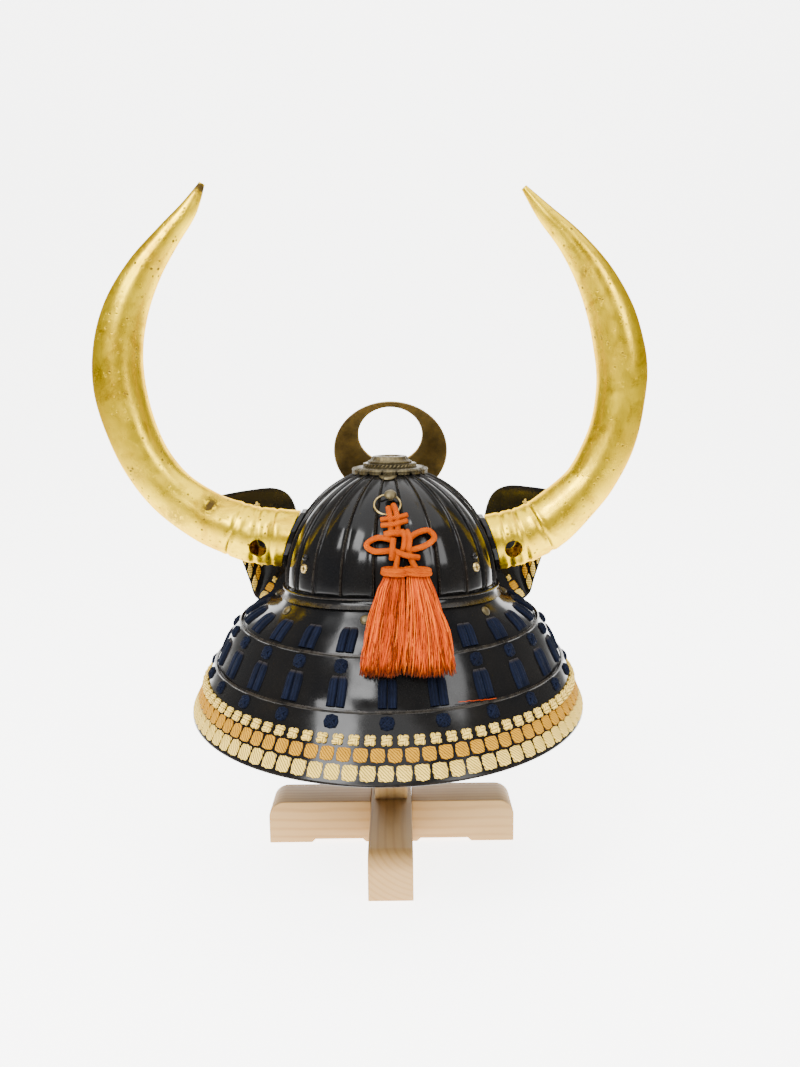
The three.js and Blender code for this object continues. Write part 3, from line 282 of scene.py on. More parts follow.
# Each lamp: name, place, what it faces, size and power
LAMPS = [
    ("key", (-0.9, -1.1, 1.7), (0, 0, 0.35), (0.7, 0.7), 40),
    ("fill", (1.2, -1.2, 1.3), (0, 0, 0.35), (0.5, 0.9), 18),
    ("ceiling", (0.1, -0.1, 2.2), (0, 0, 0.3), (3.0, 2.4), 70),
    ("spark", (0.15, -0.6, 1.7), (0, 0, 0.35), (0.12, 0.12), 1.5),
    ("low_lamp", (-0.5, -1.5, 1.2), (0, 0, 0.2), (0.5, 0.3), 14),
]

# Fineness of the meshes: rings along a piece, steps round it and samples between two points
BOWL_RINGS = 44
BOWL_INNER_RINGS = 14
PLATE_STEPS = 9
BAND_STEPS = 240
VISOR_STEPS = 96
LAME_STEPS = 232
FLAP_SAMPLES = 8
LACE_STATIONS = 9
PILLOW_SIDES = 32
CREST_STEPS = 256
HORN_SAMPLES = 14
HORN_STATIONS = 260
STRAND_STATIONS = 11
UPRIGHT = Vector((0, 0, 1))


# Geometry of the helmet's surfaces

def plan_point(phi, wide, long, squareness):
    """Point of a squared oval. phi turns from the back at -Y towards +X."""
    across = abs(math.sin(phi) / wide) ** squareness
    along = abs(math.cos(phi) / long) ** squareness
    radius = (across + along) ** (-1 / squareness)
    return Vector((radius * math.sin(phi), -radius * math.cos(phi)))


def back_share(phi):
    return max(0, math.cos(phi)) ** 1.5


def bowl_normal(phi, climb):
    before = plan_point(phi - 0.001, BOWL_WIDE, BOWL_LONG, BOWL_SQUARENESS)
    after = plan_point(phi + 0.001, BOWL_WIDE, BOWL_LONG, BOWL_SQUARENESS)
    outward = Vector((after.y - before.y, before.x - after.x)).normalized()
    level = math.cos(climb) / BOWL_WIDE
    return Vector((outward.x * level, outward.y * level, math.sin(climb) / BOWL_HIGH)).normalized()


def bowl_point(phi, climb, offset=0.0):
    """Point of the bowl's plates, by angle from the back and angle up the dome."""
    plan = plan_point(phi, BOWL_WIDE * math.cos(climb), BOWL_LONG * math.cos(climb), BOWL_SQUARENESS)
    rise = BACK_RISE * back_share(phi) * (1 - math.sin(climb))
    point = Vector((plan.x, plan.y, RIM_Z + rise + BOWL_HIGH * math.sin(climb)))
    return point + bowl_normal(phi, climb) * offset


def bowl_back(x, z, offset):
    """Point at the back of the bowl for a sideways place and a height, and the normal there."""
    climb = math.asin(min(0.98, max(0, (z - RIM_Z) / BOWL_HIGH)))
    phi = 0
    for _ in range(12):
        point = bowl_point(phi, climb, offset)
        phi += (x - point.x) / (BOWL_LONG * max(math.cos(climb), 0.2))
        climb += (z - point.z) / BOWL_HIGH * 0.8
    return bowl_point(phi, climb, offset), bowl_normal(phi, climb)


def dome_height(x, y):
    """Height of the bowl's plates over a place inside its rim."""
    across = abs(x / BOWL_WIDE) ** BOWL_SQUARENESS
    along = abs(y / BOWL_LONG) ** BOWL_SQUARENESS
    climb = math.acos(min(1, (across + along) ** (1 / BOWL_SQUARENESS)))
    rise = BACK_RISE * back_share(math.atan2(x, -y)) * (1 - math.sin(climb))
    return RIM_Z + BOWL_HIGH * math.sin(climb) + rise


def angles(steps):
    """Angles of a whole turn in equal steps."""
    return [TURN * k / steps for k in range(steps)]


def slope_at(z):
    """Sizes of the neck guard's slope at a level, on a smooth curve through its table."""
    row = 0
    while row < len(SLOPE) - 2 and z < SLOPE[row + 1]["z"]:
        row += 1
    before, start = SLOPE[max(row - 1, 0)], SLOPE[row]
    end, after = SLOPE[row + 1], SLOPE[min(row + 2, len(SLOPE) - 1)]
    span = end["z"] - start["z"]
    s = (z - start["z"]) / span

    def blend(key):
        start_slope = (end[key] - before[key]) / (end["z"] - before["z"])
        end_slope = (after[key] - start[key]) / (after["z"] - start["z"])
        return (start[key] * (2 * s ** 3 - 3 * s ** 2 + 1) + end[key] * (3 * s ** 2 - 2 * s ** 3)
                + start_slope * span * (s ** 3 - 2 * s ** 2 + s) + end_slope * span * (s ** 3 - s ** 2))

    return {key: blend(key) for key in ("wide", "long", "x", "y", "rise")}


def slope_point(phi, z, outward):
    at = slope_at(z)
    squareness = 2 + (BOWL_SQUARENESS - 2) * at["rise"]
    plan = plan_point(phi, at["wide"] + outward, at["long"] + outward, squareness)
    return Vector((plan.x + at["x"], plan.y + at["y"], z + BACK_RISE * at["rise"] * back_share(phi)))


def slope_frame(phi, z, outward):
    """Place on the slope, with the directions along the lame, down it and out of it."""
    point = slope_point(phi, z, outward)
    along = (slope_point(phi + 0.01, z, outward) - slope_point(phi - 0.01, z, outward)).normalized()
    down = (slope_point(phi, z - 1, outward) - slope_point(phi, z + 1, outward)).normalized()
    normal = along.cross(down).normalized()
    if normal.z < 0:
        normal.negate()
    return point, along, down, normal


def spline(points, samples):
    """Catmull-Rom curve through points, with this many samples between each two."""
    result = []
    last = len(points) - 1
    for i in range(last):
        p0, p1 = points[max(i - 1, 0)], points[i]
        p2, p3 = points[i + 1], points[min(i + 2, last)]
        for k in range(samples):
            t = k / samples
            result.append(0.5 * ((2 * p1) + (p2 - p0) * t + (2 * p0 - 5 * p1 + 4 * p2 - p3) * t ** 2
                                 + (3 * p1 - 3 * p2 + p3 - p0) * t ** 3))
    result.append(points[last].copy())
    return result


# Meshes

class Shape:
    """Points and faces of one piece, gathered from grids of points."""

    def __init__(self):
        self.points = []
        self.faces = []
        self.uvs = []
        self.wear_and_painted_light = []
        self.tone = []

    def grid(self, rows, around=False, loop=False, wear_and_painted_light=None, tone=0.5, step=10.0):
        """Adds a grid of points. around joins each row's ends, loop joins the last row to the first.
        The u coordinate is the share across a row and v the length down the rows in steps."""
        first = len(self.points)
        columns = len(rows[0])
        lengths = [0.0]
        for above, below in zip(rows, rows[1:] + rows[:1]):
            lengths.append(lengths[-1] + (above[0] - below[0]).length / step)
        for r, row in enumerate(rows):
            self.points.extend(row)
            self.wear_and_painted_light.extend(wear_and_painted_light[r] if wear_and_painted_light else [0.0] * columns)
            self.tone.extend([tone] * columns)
        for r in range(len(rows) if loop else len(rows) - 1):
            below = (r + 1) % len(rows)
            for c in range(columns if around else columns - 1):
                nxt = (c + 1) % columns
                self.faces.append((first + r * columns + c, first + r * columns + nxt,
                                   first + below * columns + nxt, first + below * columns + c))
                u0, u1 = c / columns, (c + 1) / columns
                v0, v1 = lengths[r], lengths[r + 1]
                self.uvs.extend([(u0, v0), (u1, v0), (u1, v1), (u0, v1)])

    def cap(self, row, flip=False, tone=0.5):
        """Closes a ring of points with a fan."""
        first = len(self.points)
        middle = sum(row, Vector((0, 0, 0))) / len(row)
        self.points.extend(list(row) + [middle])
        self.wear_and_painted_light.extend([0.0] * (len(row) + 1))
        self.tone.extend([tone] * (len(row) + 1))
        for c in range(len(row)):
            nxt = (c + 1) % len(row)
            corners = (first + c, first + nxt, first + len(row))
            self.faces.append(tuple(reversed(corners)) if flip else corners)
            self.uvs.extend([(0.0, 0.0), (0.05, 0.0), (0.0, 0.05)])

    def solid(self, rings, wear_and_painted_light=None, tone=0.5):
        """Adds rings of points, closed at both ends."""
        self.grid(rings, around=True, wear_and_painted_light=wear_and_painted_light, tone=tone)
        self.cap(rings[0], flip=True, tone=tone)
        self.cap(rings[-1], tone=tone)

    def rub(self, value, start=0):
        """Marks all points from this number on as worn by a share."""
        self.wear_and_painted_light[start:] = [value] * (len(self.wear_and_painted_light) - start)

    def tube(self, path, radii, sides, tone=0.5):
        """Adds a round tube along a path, with a closed end at both sides."""
        rings = []
        side = None
        for i, point in enumerate(path):
            along = (path[min(i + 1, len(path) - 1)] - path[max(i - 1, 0)]).normalized()
            if side is None:
                side = along.orthogonal().normalized()
            side = (side - along * side.dot(along)).normalized()
            up = along.cross(side)
            radius = radii[i] if isinstance(radii, list) else radii
            rings.append([point + (side * math.cos(a) + up * math.sin(a)) * radius for a in angles(sides)])
        self.solid(rings, tone=tone)


def new_mesh(name, shape, shift):
    """A mesh in metres from a shape in millimetres."""
    mesh = bpy.data.meshes.new(name)
    mesh.from_pydata([((p.x + shift) * MM, p.y * MM, p.z * MM) for p in shape.points], [], shape.faces)
    return mesh


def add_object(name, data):
    obj = bpy.data.objects.new(name, data)
    bpy.context.collection.objects.link(obj)
    return obj


def shade_smooth(mesh):
    for polygon in mesh.polygons:
        polygon.use_smooth = True


def make(name, shape, material, nodes=(), shift=HELMET_SHIFT):
    """Makes a piece with its material and slot, lets it ride, and hides the solids it stands for."""
    mesh = new_mesh(name, shape, shift)
    layer = mesh.uv_layers.new(name="UVMap")
    layer.data.foreach_set("uv", [value for uv in shape.uvs for value in uv])
    for key, values in (("wear_and_painted_light", shape.wear_and_painted_light), ("tone", shape.tone)):
        attribute = mesh.attributes.new(key, "FLOAT", "POINT")
        attribute.data.foreach_set("value", values)
    mesh.validate()
    obj = add_object(name, mesh)
    fix_normals(mesh)
    shade_smooth(mesh)
    mesh.materials.append(material)
    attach(obj, "root")
    if nodes:
        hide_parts(*nodes)
    return obj


def fix_normals(mesh):
    work = bmesh.new()
    work.from_mesh(mesh)
    bmesh.ops.remove_doubles(work, verts=work.verts, dist=1e-7)
    bmesh.ops.recalc_face_normals(work, faces=work.faces)
    work.to_mesh(mesh)
    work.free()


def sharpen(obj, degrees):
    """Keeps edges sharper than this angle crisp under smooth shading."""
    obj.data.set_sharp_from_angle(angle=degrees * DEG)


def cut(obj, cutter):
    """Cuts another object out of this one and removes that one."""
    modifier = obj.modifiers.new("cut", "BOOLEAN")
    modifier.operation = "DIFFERENCE"
    modifier.solver = "EXACT"
    modifier.object = cutter
    settle(obj)
    bpy.data.objects.remove(cutter)


def settle(obj):
    """Replaces an object's mesh by what its modifiers make of it."""
    graph = bpy.context.evaluated_depsgraph_get()
    mesh = bpy.data.meshes.new_from_object(obj.evaluated_get(graph))
    obj.modifiers.clear()
    obj.data = mesh


def helper(name, shape):
    """An object only used to cut others."""
    mesh = new_mesh(name, shape, HELMET_SHIFT)
    fix_normals(mesh)
    return add_object(name, mesh)


def lathe(shape, profile, centre, axis, sides=48, ripple=None):
    """Adds a profile of radii and heights turned about an axis."""
    turn = axis.to_track_quat("Z", "Y").to_matrix()
    rows = []
    for radius, height in profile:
        row = []
        for angle in angles(sides):
            reach = radius * (1 + (ripple(angle) if ripple else 0))
            row.append(centre + turn @ Vector((reach * math.cos(angle), reach * math.sin(angle), height)))
        rows.append(row)
    shape.grid(rows, around=True)


# Materials

class Shader:
    """Node tree of one material, with short calls for the nodes used here."""

    def __init__(self, name):
        self.material = bpy.data.materials.new(name)
        self.material.use_nodes = True
        self.tree = self.material.node_tree
        self.surface = self.tree.nodes["Principled BSDF"]

    def put(self, socket, value):
        """Links another node's output to a socket, or sets the socket's own number or colour."""
        if isinstance(value, bpy.types.NodeSocket):
            self.tree.links.new(value, socket)
        elif socket.type == "RGBA":
            colour = value if isinstance(value, tuple) else (value, value, value)
            socket.default_value = (*colour, 1)
        else:
            socket.default_value = value

    def set(self, **values):
        """Fills sockets of the surface, whose names are written with _ for a space."""
        for key, value in values.items():
            self.put(self.surface.inputs[key.replace("_", " ")], value)

    def node(self, kind, inputs=None, **settings):
        made = self.tree.nodes.new("ShaderNode" + kind)
        for key, value in settings.items():
            setattr(made, key, value)
        for key, value in (inputs or {}).items():
            self.put(made.inputs[key], value)
        return made

    def place(self, scale=(1, 1, 1), turn=(0, 0, 0), shift=(0, 0, 0), kind="Object"):
        at = self.node("TexCoord").outputs[kind]
        inputs = {"Vector": at, "Scale": scale, "Rotation": turn, "Location": shift}
        return self.node("Mapping", inputs).outputs["Vector"]

    def split(self, at):
        return self.node("SeparateXYZ", {0: at}).outputs

    def noise(self, scale, detail=4, rough=0.55, at=None, distort=0.0):
        inputs = {"Scale": scale, "Detail": detail, "Roughness": rough, "Distortion": distort}
        inputs["Vector"] = at if at else self.place()
        return self.node("TexNoise", inputs).outputs["Fac"]

    def cells(self, scale):
        return self.node("TexVoronoi", {"Scale": scale, "Vector": self.place()}).outputs["Distance"]

    def wave(self, scale, at, distort, detail, detail_scale=1.0, **kind):
        inputs = {"Scale": scale, "Distortion": distort, "Detail": detail, "Detail Scale": detail_scale}
        return self.node("TexWave", {"Vector": at, **inputs}, **kind).outputs["Fac"]

    def ramp(self, source, stops):
        """Colours by a value: stops are (place, colour)."""
        made = self.node("ValToRGB", {"Fac": source})
        elements = made.color_ramp.elements
        while len(elements) < len(stops):
            elements.new(0.5)
        for element, (place, colour) in zip(elements, stops):
            element.position = place
            element.color = (*colour, 1)
        return made.outputs["Color"]

    def mix(self, share, first, second):
        return self.node("Mix", {0: share, 6: first, 7: second}, data_type="RGBA").outputs[2]

    def math(self, operation, first, second=0.0):
        return self.node("Math", {0: first, 1: second}, operation=operation).outputs[0]

    def times(self, first, second):
        return self.math("MULTIPLY", first, second)

    def ridges(self, source, step):
        """Rounded ridges, one for each half turn of a value times a step."""
        return self.math("ABSOLUTE", self.math("SINE", self.times(source, step)))

    def value(self, source, low, high, out_low=0.0, out_high=1.0):
        """Maps a value's range to another, held at both ends."""
        inputs = {"Value": source, "From Min": low, "From Max": high, "To Min": out_low, "To Max": out_high}
        return self.node("MapRange", inputs).outputs["Result"]

    def mark(self, name):
        return self.node("Attribute", attribute_name=name).outputs["Fac"]

    def bump(self, height, strength, distance, below=None):
        inputs = {"Strength": strength, "Distance": distance, "Height": height}
        if below:
            inputs["Normal"] = below
        return self.node("Bump", inputs).outputs["Normal"]

    def threads(self, relief, strength, distance, fine, fine_strength):
        """Normal of woven silk: its threads, with fine fibres on them."""
        fibres = self.bump(self.noise(fine, 2, 0.6), fine_strength, 0.0003)
        return self.bump(relief, strength, distance, fibres)


def lacquer_material():
    """Black lacquer, a little uneven, brown in the depth, finely scratched, with rubbed edges and painted
    highlight on rib crests.
    """
    shader = Shader("lacquer")
    colour = shader.ramp(shader.noise(14, 5, 0.6), [
        (0.35, (0.0035, 0.0036, 0.004)), (0.62, (0.006, 0.0054, 0.0048)), (0.8, (0.013, 0.0095, 0.006)),
    ])
    dust = shader.value(shader.noise(900, 3, 0.7), 0.62, 0.78)
    colour = shader.mix(shader.times(dust, 0.14), colour, (0.08, 0.07, 0.055))
    # Rubbed brown where the mark is high; on rib crests and beads it is also a painted highlight of their
    # light edges.
    rub = shader.times(shader.mark("wear_and_painted_light"), shader.value(shader.noise(160, 4, 0.7), 0.3, 0.62))
    colour = shader.mix(shader.times(rub, 0.4), colour, (0.04, 0.03, 0.019))
    rough = shader.value(shader.noise(55, 5, 0.65), 0.3, 0.75, 0.09, 0.2)
    waves = shader.bump(shader.noise(24, 2, 0.4), 0.25, 0.0012)
    scratches = shader.noise(1, 3, 0.6, at=shader.place(scale=(700, 700, 60)))
    shader.set(Base_Color=colour, Roughness=shader.mix(rub, rough, 0.36), Specular_IOR_Level=0.17,
               Normal=shader.bump(scratches, 0.05, 0.0002, waves))
    return shader.material


def navy_material():
    """Dark blue flat-braided silk: threads slanting both ways from each lace's middle line."""
    shader = Shader("navy_silk")
    at = shader.split(shader.node("TexCoord").outputs["UV"])
    fold = shader.math("ABSOLUTE", shader.math("SUBTRACT", at["X"], 0.5))
    slanted = shader.math("ADD", shader.times(fold, 3.0), shader.times(at["Y"], 6.0))
    braid = shader.times(shader.ridges(slanted, math.pi), 0.45)
    columns = shader.times(shader.ridges(at["X"], 4 * math.pi), 0.75)
    relief = shader.math("ADD", braid, columns)
    light = shader.ramp(shader.noise(60, 4, 0.6), [
        (0.3, (0.0024, 0.0042, 0.0125)), (0.7, (0.0055, 0.0092, 0.025)),
    ])
    colour = shader.mix(shader.value(relief, 0.15, 0.9), (0.0012, 0.002, 0.006), light)
    shader.set(Base_Color=shader.mix(shader.mark("wear_and_painted_light"), colour, (0.12, 0.1, 0.075)), Roughness=0.85,
               Specular_IOR_Level=0.1, Normal=shader.threads(relief, 0.9, 0.0008, 2200, 0.3))
    return shader.material


def patch_material(name, light, dark, lines):
    """Silk patch with slanting lines of thread."""
    shader = Shader(name)
    at = shader.place(kind="UV", scale=(lines, lines, 1), turn=(0, 0, 45 * DEG))
    bands = shader.wave(1.0, at, 0.6, 1.0)
    shade = shader.ramp(bands, [(0.0, dark), (0.45, light), (1.0, light)])
    worn = shader.value(shader.noise(120, 4, 0.65), 0.46, 0.8, 0.0, 0.4)
    tint = shader.mix(worn, shade, dark)
    shader.set(Base_Color=shader.mix(shader.mark("wear_and_painted_light"), tint, (0.06, 0.035, 0.015)), Roughness=0.85,
               Specular_IOR_Level=0.12, Normal=shader.threads(bands, 0.7, 0.0005, 2600, 0.25))
    return shader.material


def cord_material():
    """Orange braided silk cord."""
    shader = Shader("orange_cord")
    at = shader.split(shader.place(kind="UV", scale=(3, 4.5, 1)))
    left, right = (shader.math("SINE", shader.times(shader.math(way, at["X"], at["Y"]), TURN))
                   for way in ("ADD", "SUBTRACT"))
    relief = shader.math("ABSOLUTE", shader.times(left, right))
    shade = shader.ramp(relief, [
        (0.0, (0.16, 0.012, 0.0)), (0.3, (0.44, 0.056, 0.0)), (1.0, (0.68, 0.115, 0.0)),
    ])
    fade = shader.value(shader.noise(90, 3, 0.6), 0.35, 0.75, 0.0, 0.35)
    shader.set(Base_Color=shader.mix(fade, shade, (0.8, 0.16, 0.0)), Roughness=0.7,
               Specular_IOR_Level=0.05, Normal=shader.threads(relief, 0.8, 0.0007, 2500, 0.3))
    return shader.material


def tassel_material():
    """Loose silk threads, each a little lighter or darker, with painted shade inside, painted sheen streaks,
    painted shadow at the ends.
    """
    shader = Shader("orange_thread")
    shade = shader.ramp(shader.mark("tone"), [
        (0.0, (0.05, 0.002, 0.0)), (0.3, (0.26, 0.016, 0.0)), (0.65, (0.58, 0.062, 0.0)),
        (1.0, (0.9, 0.165, 0.0)),
    ])
    # Lengthwise streaks towards bright orange: painted sheen.
    sheen_streaks = shader.noise(1, 3, 0.6, at=shader.place(scale=(900, 900, 90)))
    shade = shader.mix(shader.value(sheen_streaks, 0.35, 0.7, 0.0, 0.3), shade, (0.9, 0.15, 0.0))
    # Near black towards the cut ends: painted shadow.
    shader.set(Base_Color=shader.mix(shader.mark("wear_and_painted_light"), shade, (0.02, 0.004, 0.001)), Roughness=0.55,
               Specular_IOR_Level=0.08)
    return shader.material


def gold_material():
    """Pale gold leaf over lacquer, with brown stains, specks and chips down to the black ground."""
    shader = Shader("gold_leaf")
    colour = shader.ramp(shader.noise(16, 5, 0.6), [
        (0.3, (0.66, 0.41, 0.0)), (0.5, (0.8, 0.54, 0.0)), (0.72, (0.93, 0.66, 0.0)),
    ])
    stain = shader.value(shader.noise(34, 6, 0.72, distort=0.6), 0.5, 0.72, 0.0, 0.7)
    colour = shader.mix(stain, colour, (0.24, 0.1, 0.002))
    where = shader.value(shader.noise(60, 4, 0.7), 0.46, 0.58)
    specks = shader.times(shader.value(shader.cells(170), 0.16, 0.26, 0.9, 0.0), where)
    chips = shader.times(shader.mark("wear_and_painted_light"), shader.value(shader.noise(230, 5, 0.75), 0.44, 0.5))
    tip = shader.value(shader.mark("wear_and_painted_light"), 0.9, 1.0)
    bare = shader.math("MAXIMUM", specks, shader.math("MAXIMUM", chips, tip))
    rough = shader.value(shader.noise(70, 4, 0.6), 0.3, 0.7, 0.25, 0.4)
    dents = shader.bump(shader.noise(38, 4, 0.55), 0.35, 0.0016)
    shader.set(Base_Color=shader.mix(bare, colour, (0.035, 0.018, 0.008)), Specular_Tint=(1, 0.75, 0.08),
               Metallic=shader.math("SUBTRACT", 0.95, shader.times(bare, 0.93)),
               Roughness=shader.mix(bare, rough, 0.75), Normal=shader.bump(bare, 0.5, -0.0006, dents))
    return shader.material


def metal_surface(shader, clouds, colour, metallic, smoothest, roughest, normal):
    """What the bare metals share: their roughness follows the clouds of their colour."""
    shader.set(Base_Color=colour, Metallic=metallic, Normal=normal,
               Roughness=shader.value(clouds, 0.3, 0.7, smoothest, roughest))
    return shader.material


def bronze_material():
    """Back of the crest: dark worn gilding, warmer where rubbed, and lit by painted highlight on the hole's
    lower inner edge.
    """
    shader = Shader("bronze")
    clouds = shader.noise(26, 6, 0.68)
    colour = shader.ramp(clouds, [
        (0.3, (0.08, 0.05, 0.012)), (0.52, (0.16, 0.1, 0.022)), (0.75, (0.29, 0.17, 0.032)),
    ])
    fine = shader.value(shader.noise(420, 4, 0.7), 0.45, 0.75, 0.0, 0.4)
    colour = shader.mix(fine, colour, (0.05, 0.035, 0.015))
    # Pale gold by the mark: rubbed gilding, and a painted highlight on the hole's lower inner edge.
    colour = shader.mix(shader.mark("wear_and_painted_light"), colour, (0.62, 0.44, 0.16))
    normal = shader.bump(shader.noise(120, 5, 0.6), 0.2, 0.0005)
    return metal_surface(shader, clouds, colour, 0.75, 0.3, 0.5, normal)


def brass_material():
    """Old brass, grey-green in its hollows."""
    shader = Shader("old_brass")
    clouds = shader.noise(90, 6, 0.65)
    colour = shader.ramp(clouds, [
        (0.3, (0.062, 0.047, 0.019)), (0.55, (0.125, 0.098, 0.044)), (0.8, (0.25, 0.2, 0.1)),
    ])
    colour = shader.mix(shader.mark("wear_and_painted_light"), (0.014, 0.011, 0.006), colour)
    normal = shader.bump(shader.noise(500, 4, 0.6), 0.25, 0.0003)
    return metal_surface(shader, clouds, colour, 0.7, 0.32, 0.55, normal)


def ring_material():
    """Pale polished brass wire."""
    shader = Shader("pale_brass")
    clouds = shader.noise(300, 4, 0.6)
    colour = shader.ramp(clouds, [(0.35, (0.26, 0.18, 0.06)), (0.7, (0.5, 0.38, 0.16))])
    return metal_surface(shader, clouds, colour, 0.9, 0.22, 0.4, shader.bump(clouds, 0.1, 0.0002))


def pine_material(name, along, pith, light=1.0):
    """Pale planed pine: growth rings round a pith line, so faces show grain and ends show rings."""
    shader = Shader(name)
    at = shader.place(shift=tuple(-value for value in pith))
    rings = shader.wave(58, at, 1.6, 2.0, 0.35, wave_type="RINGS", rings_direction=along)
    stretch = {"X": (5, 320, 320), "Y": (320, 5, 320), "Z": (320, 320, 5)}[along]
    fibres = shader.noise(1, 5, 0.65, at=shader.place(scale=stretch))
    broad = shader.noise(9, 3, 0.5)
    pale, warm = (tuple(value * light for value in colour)
                  for colour in ((0.4, 0.235, 0.08), (0.3, 0.155, 0.042)))
    colour = shader.mix(shader.value(rings, 0.55, 0.98, 0.0, 0.6), pale, warm)
    colour = shader.mix(shader.value(fibres, 0.35, 0.75, 0.0, 0.3), colour, (0.37, 0.195, 0.062))
    colour = shader.mix(shader.value(broad, 0.35, 0.7, 0.0, 0.25), colour, (0.54, 0.36, 0.16))
    saw = shader.bump(rings, 0.12, 0.0004)
    shader.set(Base_Color=colour, Roughness=shader.value(fibres, 0.3, 0.7, 0.52, 0.68),
               Specular_IOR_Level=0.35, Normal=shader.bump(fibres, 0.25, 0.0003, saw))
    return shader.material


def floor_material():
    """White paper sweep, lit evenly where the photo's camera sees it."""
    shader = Shader("studio_paper")
    paper = shader.ramp(shader.noise(0.8, 2, 0.4), [(0.3, (0.84, 0.838, 0.83)), (0.7, (0.88, 0.878, 0.87))])
    at = shader.split(shader.place())
    aside = shader.math("SUBTRACT", shader.math("ABSOLUTE", at["X"]), shader.times(at["Y"], GLOW_WIDENS))
    lit = shader.value(aside, GLOW_SIDE, GLOW_SIDE_END, 1.0, 0.0)
    lit = shader.times(lit, shader.value(at["Y"], GLOW_FRONT_END, GLOW_FRONT))
    lit = shader.times(lit, shader.value(at["Z"], GLOW_HIGH, GLOW_HIGH_END, 1.0, 0.0))
    shader.set(Base_Color=paper, Roughness=0.9, Specular_IOR_Level=0.1, Emission_Color=(1, 0.995, 0.98),
               Emission_Strength=shader.times(lit, PAPER_GLOW))
    return shader.material


LACQUER = lacquer_material()
NAVY = navy_material()
CREAM = patch_material("cream_silk", (0.96, 0.67, 0.13), (0.2, 0.115, 0.02), 1.9)
TAN = patch_material("tan_silk", (0.58, 0.28, 0.01), (0.14, 0.055, 0.004), 1.9)
CORD_SILK = cord_material()
THREAD = tassel_material()
GOLD = gold_material()
BRONZE = bronze_material()
BRASS = brass_material()
PALE_BRASS = ring_material()


# Bowl

def rib_profile(climb):
    """Offsets along the bowl and heights of one rib, with a fine groove down its middle."""
    narrow = 0.45 + 0.55 * math.cos(climb)
    high = RIB_HIGH * (1 - 0.5 * (climb / HOLE_CLIMB) ** 2)
    shape = [(-2.3, 0.02), (-1.5, 0.1), (-1.0, 0.45), (-0.8, 0.9), (-0.6, 1), (-0.25, 0.95), (0, 0.62),
             (0.25, 0.95), (0.6, 1), (0.8, 0.9), (1.0, 0.45), (1.5, 0.1), (2.3, 0.02)]
    # The third value marks the crests for rubbing and for a painted highlight along them.
    return [(across * narrow, share * high, 1.0 if share > 0.85 else 0.0) for across, share in shape]


def bowl_ring(climb, relief=1.0):
    """One ring of the outside: ribs with crowned plates between them."""
    ring = []
    wear_and_painted_light = []
    spacing = TURN / PLATES
    for plate in range(PLATES):
        rib_phi = (plate + 0.5) * spacing
        speed = (bowl_point(rib_phi + 0.01, climb) - bowl_point(rib_phi - 0.01, climb)).length / 0.02
        profile = rib_profile(climb)
        for across, high, rub_and_highlight in profile:
            ring.append(bowl_point(rib_phi + across / speed, climb, high * relief))
            wear_and_painted_light.append(rub_and_highlight * relief)
        inset = profile[-1][0] / speed
        for k in range(1, PLATE_STEPS):
            share = k / PLATE_STEPS
            phi = rib_phi + inset + (spacing - 2 * inset) * share
            crown = PLATE_CROWN * math.cos(climb) * 4 * share * (1 - share)
            ring.append(bowl_point(phi, climb, crown * relief))
            wear_and_painted_light.append(0.0)
    return ring, wear_and_painted_light


def make_bowl():
    shape = Shape()
    rows = []
    wear_and_painted_light_rows = []
    low_ring, low_wear = bowl_ring(0, 0.0)
    for drop in (SKIRT, 0.6):
        rows.append([point - Vector((0, 0, drop)) for point in low_ring])
        wear_and_painted_light_rows.append(low_wear)
    for i in range(BOWL_RINGS + 1):
        ring, wear_and_painted_light = bowl_ring(HOLE_CLIMB * i / BOWL_RINGS)
        rows.append(ring)
        wear_and_painted_light_rows.append(wear_and_painted_light)
    for i in range(BOWL_INNER_RINGS + 1):
        climb = HOLE_CLIMB * (1 - i / BOWL_INNER_RINGS)
        ring, wear_and_painted_light = bowl_ring(climb, 0.0)
        rows.append([point - bowl_normal(math.atan2(point.x, -point.y), climb) * BOWL_WALL for point in ring])
        wear_and_painted_light_rows.append(wear_and_painted_light)
    rows.append([point - Vector((0, 0, SKIRT)) for point in rows[-1]])
    wear_and_painted_light_rows.append(low_wear)
    shape.grid(rows, around=True, loop=True, wear_and_painted_light=wear_and_painted_light_rows)
    obj = make("ribbed_bowl", shape, LACQUER, ["bowl"])
    sharpen(obj, 60)


def make_band():
    """Waist band: a bead under the bowl's edge, then a hollow flare."""
    inner = BAND_SEAT
    middle = inner + BAND_WALL
    bead = [(middle + BAND_BEAD * math.sin(a) * 0.9, 2.7 - 1.3 * math.cos(a)) for a in
            (math.pi * k / 8 for k in range(9))]
    flare = [(middle + 0.5 + (BAND_FLARE - 0.5) * (k / 8) ** 1.6, 4.6 + (BAND_HIGH - 4.6) * k / 8)
             for k in range(9)]
    inside = [(inner + BAND_FLARE, BAND_HIGH + 0.6), (inner + BAND_FLARE * 0.55, BAND_HIGH * 0.62),
              (inner, 4.6)]
    profile = [(inner, 1.4)] + bead + flare + inside
    rows = []
    wear_and_painted_light_rows = []
    for outward, depth in profile:
        rows.append([bowl_point(a, 0, outward) - UPRIGHT * depth for a in angles(BAND_STEPS)])
        wear_and_painted_light_rows.append([0.8 if outward > middle + BAND_BEAD * 0.7 else 0.0] * BAND_STEPS)
    shape = Shape()
    shape.grid(rows, around=True, loop=True, wear_and_painted_light=wear_and_painted_light_rows)
    sharpen(make("waist_band_smooth", shape, LACQUER, ["waist_band"]), 50)


